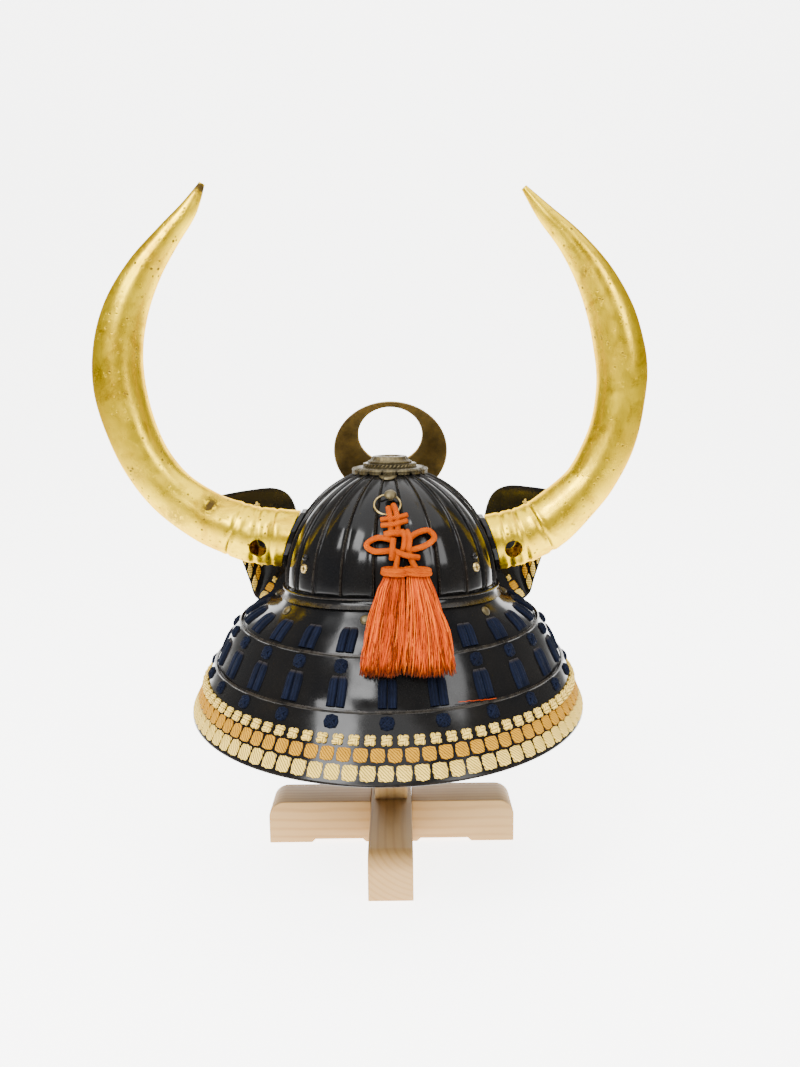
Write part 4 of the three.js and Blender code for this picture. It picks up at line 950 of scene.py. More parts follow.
def make_visor():
    shape = Shape()
    rows = []
    for i in range(VISOR_STEPS + 1):
        turn = 2 * i / VISOR_STEPS - 1
        phi = math.pi + VISOR_REACH * turn
        reach = VISOR_DEEP * math.sqrt(1 - 0.94 * turn * turn)
        drop = BAND_HIGH - 1.5
        ring = []
        for share, lift in ((0, 0), (0.25, 0.6), (0.5, 0.8), (0.75, 0.6), (0.95, 0.5), (0.97, 1.3), (1, 1.3),
                            (1.02, 0.4), (1.01, -1.8), (0.97, -2), (0.5, -1.4), (0, -VISOR_WALL)):
            point = bowl_point(phi, 0, VISOR_SEAT + reach * share)
            ring.append(point - Vector((0, 0, drop + VISOR_DROP * reach / VISOR_DEEP * share - lift)))
        rows.append(ring)
    shape.solid(rows)
    sharpen(make("visor_smooth", shape, LACQUER, ["visor"]), 40)


# Neck guard

def lame_section(top, bottom, beaded):
    """Places down a lame from its top edge and heights off its plate: the outside, then the inside."""
    tall = top - bottom
    outside = []
    if beaded:
        # The bead is marked for rubbing and for a painted highlight along the line between lames.
        outside += [(0.0, 0.2, 0.6), (0.25, LAME_BEAD, 1), (1.2, LAME_BEAD + 0.15, 1), (2.1, LAME_BEAD, 1),
                    (2.6, 0.0, 0)]
    else:
        outside += [(0.0, 0.1, 0.0), (2.6, 0.1, 0.0)]
    outside += [(tall * k / 12, 0.0, 0.0) for k in range(2, 12)]
    outside += [(tall - 1.4, 0.0, 0.2), (tall - 0.5, -0.1, 0.8), (tall, -0.6, 1)]
    inside = [(tall, -LAME_WALL + 0.3, 0.6)] + [(tall * k / 4, -LAME_WALL, 0.0) for k in (3.9, 3, 2, 1, 0)]
    return outside + inside


def lame_ring(phi, top, bottom, outward, beaded):
    points = []
    wear_and_painted_light = []
    for down, lift, rub_and_highlight in lame_section(top, bottom, beaded):
        point, _, _, normal = slope_frame(phi, top - down, outward)
        points.append(point + normal * lift)
        wear_and_painted_light.append(rub_and_highlight)
    return points, wear_and_painted_light


def flap_rings(side, start, wear_and_painted_light):
    """Rings of the turned-back end of the first lame, smooth from the lame's last ring outwards."""
    section = lame_section(LAMES[0]["top"], LAMES[0]["bottom"], False)
    tall = LAMES[0]["top"] - LAMES[0]["bottom"]
    tops = [start[0]]
    feet = [start[len(section) - 7]]
    for row in FLAP:
        for edge, chain in (("top", tops), ("foot", feet)):
            x, y, z = row[edge]
            chain.append(Vector((side * x * FLAP_WIDE, y * FLAP_DEEP, FLAP_FOOT_Z + z * FLAP_HIGH)))
    tops = spline(tops, FLAP_SAMPLES)
    feet = spline(feet, FLAP_SAMPLES)
    rings = []
    for i in range(1, len(tops)):
        ahead = min(i + 1, len(tops) - 1)
        along = tops[ahead] + feet[ahead] - tops[i - 1] - feet[i - 1]
        down = feet[i] - tops[i]
        normal = along.cross(down).normalized() * -side
        ring = []
        for depth, lift, _ in section:
            edge_lift = 0.0 if -LAME_WALL < lift < 0 else lift
            ring.append(tops[i].lerp(feet[i], depth / tall) + normal * edge_lift)
        rings.append(ring)
    return rings, [list(wear_and_painted_light) for _ in rings], tops, feet


def make_lames():
    """The three lames, and the edge lines of both flaps for what is sewn on them."""
    flaps = {}
    for index, lame in enumerate(LAMES):
        outward = index * LAME_STEP
        rows = []
        wear_and_painted_light_rows = []
        for i in range(LAME_STEPS + 1):
            phi = LAME_REACH * (2 * i / LAME_STEPS - 1)
            ring, wear_and_painted_light = lame_ring(phi, lame["top"], lame["bottom"], outward, index > 0)
            rows.append(ring)
            wear_and_painted_light_rows.append(wear_and_painted_light)
        if index == 0:
            right, right_wear, tops, feet = flap_rings(1, rows[-1], wear_and_painted_light_rows[-1])
            flaps[1] = (tops, feet)
            left, left_wear, tops, feet = flap_rings(-1, rows[0], wear_and_painted_light_rows[0])
            flaps[-1] = (tops, feet)
            rows = left[::-1] + rows + right
            wear_and_painted_light_rows = left_wear[::-1] + wear_and_painted_light_rows + right_wear
        shape = Shape()
        shape.solid(rows, wear_and_painted_light_rows)
        sharpen(make(f"lame_{index + 1}", shape, LACQUER, [f"neck_lame_{index + 1}"]), 50)
    return flaps


def add_lace(shape, phi, index, side):
    """One flat lace on a lame, from its hole down to the next lame's edge."""
    lame = LAMES[index]
    outward = index * LAME_STEP
    upper = lame["shown"] + (lame["top"] - lame["shown"]) * LACE_TOPS[index]
    lower = lame["shown"] + 0.4
    rows = []
    for i in range(LACE_STATIONS + 1):
        share = i / LACE_STATIONS
        z = upper + (lower - upper) * share
        point, along, _, normal = slope_frame(phi, z, outward)
        full = min(1, math.sqrt(share * 4 + 0.02))
        wide = LACE_WIDE * (0.7 + 0.3 * full)
        middle = side * (LACE_WIDE * 0.54 - (1 - full) * 1.2)
        rise = LACE_HIGH * (0.25 + 0.75 * full) + 0.35 * math.sin(share * math.pi)
        row = []
        for across, up in ((-0.5, -0.4), (-0.5, 0.35), (-0.36, 0.86), (-0.14, 1), (0, 0.93), (0.14, 1),
                           (0.36, 0.86), (0.5, 0.35), (0.5, -0.4)):
            row.append(point + along * (middle + across * wide) + normal * (rise * up))
        rows.append(row)
    first = rows[0]
    closing = [point.lerp(sum(first, Vector()) / len(first), 0.5) - slope_frame(phi, upper, outward)[3] * 1.2
               for point in first]
    wear_and_painted_light_rows = [[0.3] * len(first)] * 2 + [[0.0] * len(first)] * (len(rows) - 1)
    shape.grid([closing] + rows, wear_and_painted_light=wear_and_painted_light_rows, step=6.0)


def add_pillow(shape, point, along, down, normal, wide, high, rise, ripple=0.08, corner=4, worn=0.0, seed=0):
    """A padded patch with a wavy outline, lying on the surface."""
    dice = random.Random(seed)
    wobble = [dice.uniform(-1, 1) for _ in range(2)]
    sides = PILLOW_SIDES
    first = len(shape.points)
    levels = ((1.0, -0.25), (1.0, 0.25), (0.93, 0.62), (0.75, 0.88), (0.45, 1.0), (0.12, 1.02))
    for share, up in levels:
        for angle in angles(sides):
            c, s = math.cos(angle), math.sin(angle)
            square = (abs(c) ** corner + abs(s) ** corner) ** (-1 / corner)
            edge = square * (1 - ripple * abs(math.sin(4 * angle)) + 0.03 * wobble[0] * math.sin(3 * angle)
                             + 0.03 * wobble[1] * math.cos(2 * angle))
            across = edge * c * wide / 2 * share
            lower = edge * s * high / 2 * share
            shape.points.append(point + along * across + down * lower + normal * rise * up)
        shape.wear_and_painted_light.extend([worn] * sides)
        shape.tone.extend([0.5] * sides)

    def add_face(corners):
        """A face by its (level, side) corners, with its silk laid out over the patch's width."""
        shape.faces.append(tuple(first + level * sides + side for level, side in corners))
        for level, side in corners:
            angle = TURN * side / sides
            share = levels[level][0]
            shape.uvs.append((0.5 + math.cos(angle) * wide / SILK_REPEAT * share,
                              0.5 + math.sin(angle) * high / SILK_REPEAT * share))

    for r in range(len(levels) - 1):
        for k in range(sides):
            n = (k + 1) % sides
            add_face([(r, k), (r, n), (r + 1, n), (r + 1, k)])
    add_face([(len(levels) - 1, k) for k in range(sides)])


def add_cross(shape, point, along, down, normal, size, rise, radius, worn=0.0):
    """A small cross-stitch: two short thick strands over each other."""
    for turn, lift in ((1, 0.0), (-1, 0.45)):
        ends = (along * turn + down).normalized()
        path = []
        for share in (-1, -0.75, -0.4, 0, 0.4, 0.75, 1):
            high = rise * (1 - abs(share) ** 3 * 1.3) + lift * (1 - abs(share))
            path.append(point + ends * share * size * 0.6 + normal * high)
        radii = [radius * 0.6] + [radius] * 5 + [radius * 0.6]
        start = len(shape.wear_and_painted_light)
        shape.tube(path, radii, 8)
        shape.rub(worn, start)


def make_lacing():
    """Paired laces on the two upper lames, and the knots under the next edge."""
    laces = Shape()
    knots = Shape()
    for index in (0, 1):
        for pair in range(-LACES_EACH_SIDE, LACES_EACH_SIDE + 1):
            phi = pair * LACE_SPACING
            for side in (-1, 1):
                add_lace(laces, phi, index, side)
            z = LAMES[index]["shown"] - NAVY_KNOT_BELOW
            point, along, down, normal = slope_frame(phi, z, (index + 1) * LAME_STEP)
            add_pillow(knots, point, along, down, normal, NAVY_KNOT, NAVY_KNOT, 1.5, ripple=0.05, corner=2.3,
                       seed=pair * 7 + index)
            add_cross(knots, point, along, down, normal, NAVY_KNOT * 0.82, 1.5, 1.9)
    make("neck_laces", laces, NAVY)
    make("neck_lace_knots", knots, NAVY)


def make_patches(flaps):
    """Three rows of silk patches along the lowest lame and along the flaps' edges."""
    cream, tan, cross = Shape(), Shape(), Shape()
    pitch = TURN / PATCHES_ROUND
    outward = 2 * LAME_STEP
    last = int(LAME_REACH / pitch)
    for i in range(-last, last + 1):
        for row, shift, kind in ((CREAM_ROW, 0, "cream"), (TAN_ROW, -0.5, "tan"), (CROSS_ROW, 0, "cross")):
            phi = (i + shift) * pitch
            if abs(phi) > LAME_REACH - 0.4 * pitch:
                continue
            point, along, down, normal = slope_frame(phi, row["z"], outward)
            if kind == "cross":
                add_cross(cross, point, along, down, normal, row["wide"] * 0.76, 0.9, 2.5)
                continue
            target = cream if kind == "cream" else tan
            add_pillow(target, point, along, down, normal, row["wide"], row["high"], 1.3, seed=i * 13 + 5)
    for side, (tops, feet) in flaps.items():
        add_flap_patches(side, tops, feet, cream, tan, cross)
    make("cream_patches", cream, CREAM)
    make("tan_patches", tan, TAN)
    make("cross_stitches", cross, CREAM)


def add_flap_patches(side, tops, feet, cream, tan, cross):
    """Rows that follow a flap's foot edge, then its outer end up to the top."""
    def place(index, share):
        """Place between the top and foot edges, with its directions and the flap's height there."""
        index = max(1.0, min(len(tops) - 2.0, index))
        low = int(index)
        part = index - low
        top = tops[low].lerp(tops[low + 1], part)
        foot = feet[low].lerp(feet[low + 1], part)
        along = (feet[low + 1] - feet[low - 1]).normalized()
        down = (foot - top).normalized()
        normal = (along.cross(down)).normalized() * -side
        return top.lerp(foot, share), along, down, normal, (foot - top).length

    for inset, kind, size in FLAP_ROWS:
        index = 6.0
        while index < len(tops) - 1.5:
            tall = place(index, 0.5)[-1]
            point, along, down, normal, _ = place(index, 1 - inset / tall)
            put_patch(kind, point, along, down, normal, size, cream, tan, cross, worn=0.0)
            here = feet[int(index)]
            step = 0.0
            while step < FLAP_PATCH_STEP and index < len(tops) - 1.5:
                index += 0.25
                step = (feet[int(index)] - here).length
        end = len(tops) - 2.0
        tall = place(end, 0.5)[-1]
        count = int((tall - inset - 8) / FLAP_PATCH_STEP)
        for k in range(1, count + 1):
            share = 1 - (inset + k * FLAP_PATCH_STEP) / tall
            reach = inset / 3.2
            point, along, down, normal, _ = place(end - reach, share)
            put_patch(kind, point, along, down, normal, size, cream, tan, cross, worn=min(0.9, 0.25 * k))


def put_patch(kind, point, along, down, normal, size, cream, tan, cross, worn):
    if kind == "cross":
        add_cross(cross, point, along, down, normal, size * 0.62, 0.9, 1.4, worn)
        return
    target = cream if kind == "cream" else tan
    add_pillow(target, point, along, down, normal, size, size, 1.2, worn=worn, seed=int(point.z * 10))


# Crown fitting

def make_crown():
    collar = Shape()
    steps = PETALS * 16
    rows = []
    wear_and_painted_light_rows = []
    side_profile = [(1.0, "foot"), (1.0, 3.2), (1.015, 2.2), (0.99, 1.0), (0.96, 0.2), (0.9, 0.0),
                    (0.82, 0.3), (0.74, 0.5)]
    for radius_share, drop in side_profile:
        row = []
        wear_and_painted_light = []
        for angle in angles(steps):
            petal = abs(math.cos(PETALS / 2 * angle))
            flute = 0.5 + 0.5 * math.cos(PETALS * 4 * angle)
            radius = COLLAR_RADIUS * radius_share * (1 - 0.035 * (1 - petal ** 0.6)) - 0.5 * flute
            x, y = radius * math.cos(angle), radius * math.sin(angle)
            if drop == "foot":
                gap = 1.6 if petal < 0.35 else 0.0
                z = dome_height(x, y) + 1.4 + gap
            else:
                z = COLLAR_TOP - drop
            row.append(Vector((x, y, z)))
            wear_and_painted_light.append(min(1.0, 0.25 + 0.75 * petal * (0.4 + 0.6 * (1 - flute))))
        rows.append(row)
        wear_and_painted_light_rows.append(wear_and_painted_light)
    for radius in (TIER_RADIUS, FITTING_HOLE):
        rows.append([Vector((radius * math.cos(a), radius * math.sin(a), COLLAR_TOP)) for a in angles(steps)])
        wear_and_painted_light_rows.append([0.5] * steps)
    low = [Vector((p.x * 0.9, p.y * 0.9, dome_height(p.x * 0.9, p.y * 0.9) + 0.6)) for p in rows[0]]
    inner = [Vector((p.x, p.y, COLLAR_TOP - 3)) for p in rows[-1]]
    rows += [inner, low]
    wear_and_painted_light_rows += [[0.2] * steps, [0.0] * steps]
    collar.grid(rows, around=True, loop=True, wear_and_painted_light=wear_and_painted_light_rows)
    sharpen(make("petal_collar", collar, BRASS, ["crown_collar"]), 45)
    make_rope_tier()
    make_top_ring()


def make_rope_tier():
    """A ring of slanting beads like a rope, between two thin rims."""
    tier = Shape()
    low = COLLAR_TOP + GAP
    core = TIER_RADIUS - 1.4
    profile = [(FITTING_HOLE, 0), (core + 1.3, 0), (core + 1.3, 0.5), (core, 0.6), (core, TIER_HIGH - 0.5),
               (core + 0.9, TIER_HIGH - 0.4), (core + 0.9, TIER_HIGH), (FITTING_HOLE, TIER_HIGH),
               (FITTING_HOLE, 0)]
    lathe(tier, profile, UPRIGHT * low, UPRIGHT, 96)
    tier.rub(0.5)
    for i in range(ROPE_BEADS):
        angle = TURN * i / ROPE_BEADS
        ahead = angle + 0.6 * TURN / ROPE_BEADS
        path = [Vector((core * math.cos(a), core * math.sin(a), low + TIER_HIGH * h))
                for a, h in ((angle, 0.08), ((angle + ahead) / 2, 0.5), (ahead, 0.9))]
        start = len(tier.wear_and_painted_light)
        tier.tube(path, [0.9, 1.25, 0.9], 8)
        tier.rub(0.95, start)
    sharpen(make("rope_tier", tier, BRASS, ["crown_rope_tier"]), 50)


def make_top_ring():
    low = COLLAR_TOP + TIER_HIGH + 2 * GAP
    step = TOP_RADIUS - 4
    profile = [(FITTING_HOLE, 0), (TOP_RADIUS, 0), (TOP_RADIUS + 0.3, 0.8), (TOP_RADIUS, 1.8),
               (step + 1.6, 2.6), (step + 0.6, 4), (step, TOP_HIGH - 1.2), (step - 0.6, TOP_HIGH - 0.3),
               (step - 1.6, TOP_HIGH), (FITTING_HOLE + 2, TOP_HIGH), (FITTING_HOLE + 0.6, TOP_HIGH - 0.6),
               (FITTING_HOLE, TOP_HIGH - 1.6), (FITTING_HOLE, 0)]
    shape = Shape()
    lathe(shape, profile, UPRIGHT * low, UPRIGHT, 144,
          ripple=lambda angle: 0.012 * math.cos(24 * angle))
    shape.rub(0.75)
    sharpen(make("top_ring", shape, BRASS, ["crown_top_ring"]), 40)
    plate = Shape()
    rows = []
    for share in (1.0, 0.5, 0.05):
        row = []
        for k in range(13):
            angle = -math.pi * k / 12
            x = -1.5 + 8.4 * share * math.cos(angle)
            y = -COLLAR_RADIUS + 1.5 + 9.5 * share * math.sin(angle)
            row.append(Vector((x, y, dome_height(x, y) + 1.7)))
        rows.append(row)
    plate.grid(rows)
    plate.rub(1.0)
    obj = make("crown_tab", plate, BRASS)
    thick = obj.modifiers.new("thick", "SOLIDIFY")
    thick.thickness = 0.9 * MM
    settle(obj)


# Horns

def horn_levels(horn):
    """Stations along a horn: middle, direction along it, radius and distance from the base."""
    points = [Vector((horn["side"] * out * horn["span"], 0, horn["base"] + up * HORN_HIGH))
              for out, up, _ in horn["path"]]
    girths = [Vector((girth, 0, 0)) for _, _, girth in horn["path"]]
    centres = spline(points, HORN_SAMPLES)
    widths = [HORN_GIRTH * value.x for value in spline(girths, HORN_SAMPLES)]
    lengths = [0.0]
    for before, after in zip(centres, centres[1:]):
        lengths.append(lengths[-1] + (after - before).length)
    total = lengths[-1]
    levels = []
    row = 0
    for i in range(HORN_STATIONS + 1):
        distance = total * i / HORN_STATIONS
        while row < len(lengths) - 2 and lengths[row + 1] < distance:
            row += 1
        part = (distance - lengths[row]) / (lengths[row + 1] - lengths[row])
        centre = centres[row].lerp(centres[row + 1], part)
        along = (centres[min(row + 2, len(centres) - 1)] - centres[max(row - 1, 0)]).normalized()
        width = widths[row] * (1 - part) + widths[row + 1] * part
        for groove in GROOVES:
            away = abs(distance - groove * total)
            width -= GROOVE_DEEP * math.exp(-(away / GROOVE_WIDE) ** 2)
            width += 0.5 * math.exp(-((away - 4) / 2.5) ** 2)
        levels.append((centre, along, width, distance))
    return levels


def horn_shape(horn, shrink, until, sides):
    shape = Shape()
    rows = []
    wear_and_painted_light_rows = []
    for centre, along, width, distance in horn_levels(horn):
        if distance > until:
            break
        across = Vector((-along.z, 0, along.x))
        radius = max(width - shrink, 0.4)
        ring = []
        for angle in angles(sides):
            ring.append(centre + across * radius * math.cos(angle) + Vector((0, radius * math.sin(angle), 0)))
        rows.append(ring)
        wear_and_painted_light_rows.append([chip_share(horn, point) for point in ring])
    shape.solid(rows, wear_and_painted_light_rows)
    return shape


# Where the gilding is chipped: place, reach and strength, in the helmet's own frame
CHIPS = [
    (-170, -17, 350, 9, 0.95), (-174, -20, 343, 6, 0.9), (-168, 0, 643, 9, 2.4),
    (128, -6, 615, 7, 0.85), (133, -8, 607, 5, 0.85), (141, -10, 593, 6, 0.8), (180, -16, 559, 6, 0.85),
    (152, -12, 577, 4, 0.8), (205, -22, 470, 4, 0.7),
    (-131, -26, 324, 4, 0.5), (-205, -22, 336, 12, 0.5), (112, -26, 333, 8, 0.4), (-236, -20, 380, 9, 0.4),
]


def chip_share(horn, point):
    share = 0.0
    for x, y, z, reach, strength in CHIPS:
        if x * horn["side"] > 0:
            away = (point - Vector((x, y, z))).length
            share += strength * math.exp(-(away / reach) ** 2)
    return min(1.0, share)


def dome_cutter(offset):
    """A filled dome that clears the bowl by an offset."""
    shape = Shape()
    around = angles(96)
    rows = [[bowl_point(a, 0, offset) - UPRIGHT * 2 * SKIRT for a in around]]
    for row in range(25):
        rows.append([bowl_point(a, HOLE_CLIMB * row / 24, offset) for a in around])
    shape.solid(rows)
    return helper("dome_cutter", shape)


def make_horns():
    for horn in HORNS:
        obj = make(horn["node"] + "_gilt", horn_shape(horn, 0, 1e9, 56), GOLD, [horn["node"]])
        hollow = helper("hollow", horn_shape(horn, HORN_WALL, HORN_BORE, 40))
        hollow.data.materials.append(LACQUER)
        cut(obj, hollow)
        cut(obj, dome_cutter(RIB_HIGH + WASHER_THICK + 2 * GAP))
        peg = Shape()
        out, high = horn["peg"]
        middle = Vector((horn["side"] * out, 0, high))
        lathe(peg, [(PEG_HOLE, -80), (PEG_HOLE, 80)], middle, Vector((0, 1, 0)), 48)
        rings = [peg.points[:48], peg.points[48:96]]
        peg.cap(rings[0], flip=True)
        peg.cap(rings[1])
        cut(obj, helper("peg_hole", peg))
        shade_smooth(obj.data)
        sharpen(obj, 35)


# Crest

def make_crest():
    """A moon disc, hole off centre, leaning back, thin rim, rubbed edges, painted highlight on the hole's
    lower inner edge.
    """
    shape = Shape()
    rows = []
    wear_and_painted_light_rows = []
    half = CREST_PLATE / 2
    lean = Matrix.Rotation(CREST_LEAN, 3, "X")

    def at(share, angle, y):
        outer = Vector((CREST_RADIUS * math.sin(angle), CREST_RADIUS * -math.cos(angle)))
        inner = Vector((CREST_HOLE * math.sin(angle), CREST_HOLE_UP + CREST_HOLE * -math.cos(angle)))
        flat = inner.lerp(outer, share)
        return lean @ Vector((flat.x, y, flat.y)) + Vector((0, CREST_Y, CREST_Z))

    profile = [(0.0, -half * 0.4, 1.0), (0.012, -half, 0.9), (0.05, -half, 0.12), (0.3, -half, 0.0),
               (0.6, -half, 0.0), (0.9, -half, 0.0), (0.95, -half, 0.0),
               (0.965, -half * 1.5, 0.2), (0.985, -half * 1.5, 0.3),
               (1.0, -half * 0.6, 0.5), (1.0, half * 0.6, 0.5), (0.985, half, 0.4), (0.9, half, 0.3),
               (0.5, half, 0.35), (0.02, half, 0.5), (0.0, half * 0.4, 1.0)]
    for share, y, wear_and_painted_light in profile:
        rows.append([at(share, a, y) for a in angles(CREST_STEPS)])
        # The mark grows towards the ring's lower side: painted highlight where the inner edge faces up to the
        # light.
        wear_and_painted_light_rows.append([wear_and_painted_light * (0.5 + 0.5 * max(0.0, math.cos(a))) for a in angles(CREST_STEPS)])
    shape.grid(rows, around=True, loop=True, wear_and_painted_light=wear_and_painted_light_rows)
    for side in (-1, 1):
        ring = []
        low = -CREST_RADIUS - TONGUE_LONG
        corners = [(-TONGUE_WIDE / 2, -CREST_RADIUS + 6), (TONGUE_WIDE / 2, -CREST_RADIUS + 6),
                   (TONGUE_WIDE / 2, low), (-TONGUE_WIDE / 2, low)]
        for x, z in corners:
            ring.append(lean @ Vector((x, side * half * 0.9, z)) + Vector((0, CREST_Y, CREST_Z)))
        if side == -1:
            back = ring
    shape.solid([back, ring])
    sharpen(make("moon_crest", shape, BRONZE, ["crest_disc"]), 30)


# Small fittings

def dome_profile(radius, high):
    """Profile of a rivet's head, up to a tiny flat at its top."""
    return [(radius * math.cos(a), high * math.sin(a)) for a in (math.pi / 2 * k / 8 for k in range(8))] \
        + [(0.02, high)]


def make_studs():
    grommets = Shape()
    knobs = Shape()
    for degrees in STUD_ANGLES:
        phi = degrees * DEG
        climb = math.asin(GROMMET_UP)
        lift = PLATE_CROWN + GAP
        profile = [(GROMMET_RADIUS, -0.6), (GROMMET_RADIUS, 0.4), (GROMMET_RADIUS * 0.86, 1.2),
                   (GROMMET_RADIUS * 0.6, 1.9), (GROMMET_RADIUS * 0.45, 1.5), (1.5, 0.9), (1.3, -0.6)]
        start = len(grommets.wear_and_painted_light)
        lathe(grommets, profile, bowl_point(phi, climb, lift), bowl_normal(phi, climb), 48,
              ripple=lambda angle: 0.1 * abs(math.cos(3 * angle)) - 0.08)
        grommets.rub(0.9, start)
        climb = math.asin(KNOB_UP)
        profile = [(KNOB_RADIUS, -0.8)] + dome_profile(KNOB_RADIUS, KNOB_RADIUS)
        lathe(knobs, profile, bowl_point(phi, climb, lift), bowl_normal(phi, climb), 32)
    numbers = range(1, len(STUD_ANGLES) + 1)
    make("bowl_eyelets", grommets, PALE_BRASS, [f"bowl_grommet_{i}" for i in numbers])
    make("bowl_knobs", knobs, LACQUER, [f"bowl_knob_{i}" for i in numbers])
    rivets = Shape()
    for degrees in RIVET_ANGLES:
        point, _, _, normal = slope_frame(degrees * DEG, SLOPE[1]["z"] - RIVET_RADIUS * 0.6, 0)
        profile = [(RIVET_RADIUS, -0.6)] + dome_profile(RIVET_RADIUS, 2)
        lathe(rivets, profile, point + normal * 0.4, normal, 32)
    rivets.rub(0.8)
    make("band_rivets", rivets, BRASS, [f"band_rivet_{i + 1}" for i in range(len(RIVET_ANGLES))])


def make_ring():
    point, normal = bowl_back(RING_STUD_X, RING_STUD_Z, 0)
    stud = Shape()
    radius = RING_STUD_RADIUS
    profile = [(RING_STUD_NECK * 2, 0), (RING_STUD_NECK, 1), (RING_STUD_NECK, 4.2), (radius * 0.8, 4.5),
               (radius, 5), (radius, 5.7), (radius * 0.9, 6.5), (radius * 0.6, 7.3),
               (radius * 0.25, 7.9), (0.02, 8)]
    lathe(stud, profile, point + normal * (PLATE_CROWN + GAP), normal, 40)
    stud.rub(0.85)
    make("ring_stud_turned", stud, BRASS, ["ring_stud"])
    lift = RIB_HIGH * 0.8 + RING_WIRE + GAP
    across = Vector((1, 0, 0))
    down = across.cross(normal).normalized()
    drop = RING_RADIUS - RING_WIRE - RING_STUD_NECK - GAP
    centre = point + normal * lift + down * drop * math.cos(RING_SWING) - across * drop * math.sin(RING_SWING)
    wire = Shape()
    rows = []
    for angle in angles(72):
        out = across * math.cos(angle) + down * math.sin(angle)
        rows.append([centre + out * (RING_RADIUS + RING_WIRE * math.cos(b)) + normal * RING_WIRE * math.sin(b)
                     for b in angles(12)])
    wire.grid(rows, around=True, loop=True)
    make("cord_ring_wire", wire, PALE_BRASS, ["cord_ring"])


# Cord knot and tassels

def make_knot():
    shape = Shape()
    for radius, route in KNOT:
        points = [bowl_back(x, z, lift)[0] for x, z, lift in route]
        samples = 14 if len(points) < 4 else 12
        shape.tube(spline(points, samples), radius, 14)
    make("silk_knot", shape, CORD_SILK, ["bow_knot"])


def tassel_level(rows, down):
    """Middle, half width and half depth of a tassel at a share of its length."""
    for above, below in zip(rows, rows[1:]):
        if down <= below[0]:
            break
    share = (down - above[0]) / (below[0] - above[0])
    out, left, right, thick = (a * (1 - share) + b * share for a, b in zip(above[1:], below[1:]))
    return (left + right) / 2, -TASSEL_OUT * out - thick / 2, (right - left) / 2, thick / 2


def make_tassels():
    for index, (node, rows) in enumerate(TASSELS.items()):
        dice = random.Random(41 + index)
        shape = Shape()
        for _ in range(TASSEL_STRANDS):
            angle = dice.uniform(0, TURN)
            ray = dice.uniform(0.2, 1) ** 0.35
            u, v = ray * math.cos(angle), ray * math.sin(angle)
            finish = 1 + dice.uniform(-0.07, 0.02)
            wave, phase = dice.uniform(0.4, 3.0), dice.uniform(0, TURN)
            drift = dice.gauss(0, 0.15)
            path = []
            for k in range(STRAND_STATIONS + 1):
                down = finish * k / STRAND_STATIONS
                x, y, half, deep = tassel_level(rows, min(1, down))
                loose = 0.25 + 0.75 * down
                aside = max(-1.04, min(1.04, u + drift * down))
                px = x + half * aside + wave * loose * math.sin(phase + down * 9) * 0.8
                py = y + deep * v + wave * loose * math.cos(phase * 1.7 + down * 8) * 0.6
                path.append(Vector((px, py, TASSEL_TOP - TASSEL_LONG * down)))
            # Tone varies at random, and inner threads are made darker: painted shade inside the tassel.
            tone = min(1, max(0, dice.gauss(0.5, 0.36) * (0.2 + 0.8 * ray)))
            start = len(shape.wear_and_painted_light)
            shape.tube(path, STRAND_RADIUS, 4, tone=tone)
            # The last 5 mm of each thread are marked near black: painted shadow of the threads on the lacquer
            # below.
            for k in range(start, len(shape.wear_and_painted_light)):
                left = shape.points[k].z - path[-1].z
                shape.wear_and_painted_light[k] = 0.95 * max(0.0, 1 - left / 5)
        make(node + "_threads", shape, THREAD, [node])
        make_tassel_head(node, rows)
    make_stray_threads()


def make_tassel_head(node, rows):
    """The wrapped head: a roll of cord round the top of the threads."""
    shape = Shape()
    middle, y, half, deep = tassel_level(rows, 0.05)
    for turn, high in ((0, 4.6), (1, 1.9)):
        path = []
        count = 40
        for k in range(count + 1):
            angle = TURN * k / count
            swell = 1.06 + 0.05 * turn
            path.append(Vector((middle + (half + 0.6) * swell * math.cos(angle),
                                y + (deep + 1.4) * math.sin(angle),
                                TASSEL_TOP - 3.2 + high - 0.6 * math.cos(angle))))
        shape.tube(path, 2.1, 10)
    dome = [(1.0, 3.6), (0.92, 5.0), (0.7, 6.4), (0.4, 7.2), (0.05, 7.5)]
    grid = []
    for share, high in dome:
        grid.append([Vector((middle + half * share * math.cos(a), y + (deep + 0.6) * share * math.sin(a),
                             TASSEL_TOP - 4 + high)) for a in angles(32)])
    shape.grid(grid, around=True)
    make(node + "_head", shape, CORD_SILK)


def make_stray_threads():
    """A few threads that have come loose and lie on the neck guard."""
    shape = Shape()
    dice = random.Random(7)
    for phi, z, length, turn in ((20 * DEG, 199, 34, 0.05), (14 * DEG, 226, 9, -0.1)):
        path = []
        for k in range(12):
            share = k / 11
            point, along, down, normal = slope_frame(phi, z, 2 * LAME_STEP)
            lower = turn * length * share + dice.uniform(-0.5, 0.5)
            path.append(point + along * (share * length) + down * lower
                        + normal * (1.8 + 0.6 * math.sin(share * 7)))
        shape.tube(path, 0.3, 5, tone=0.3)
    make("stray_threads", shape, THREAD)


# Stand

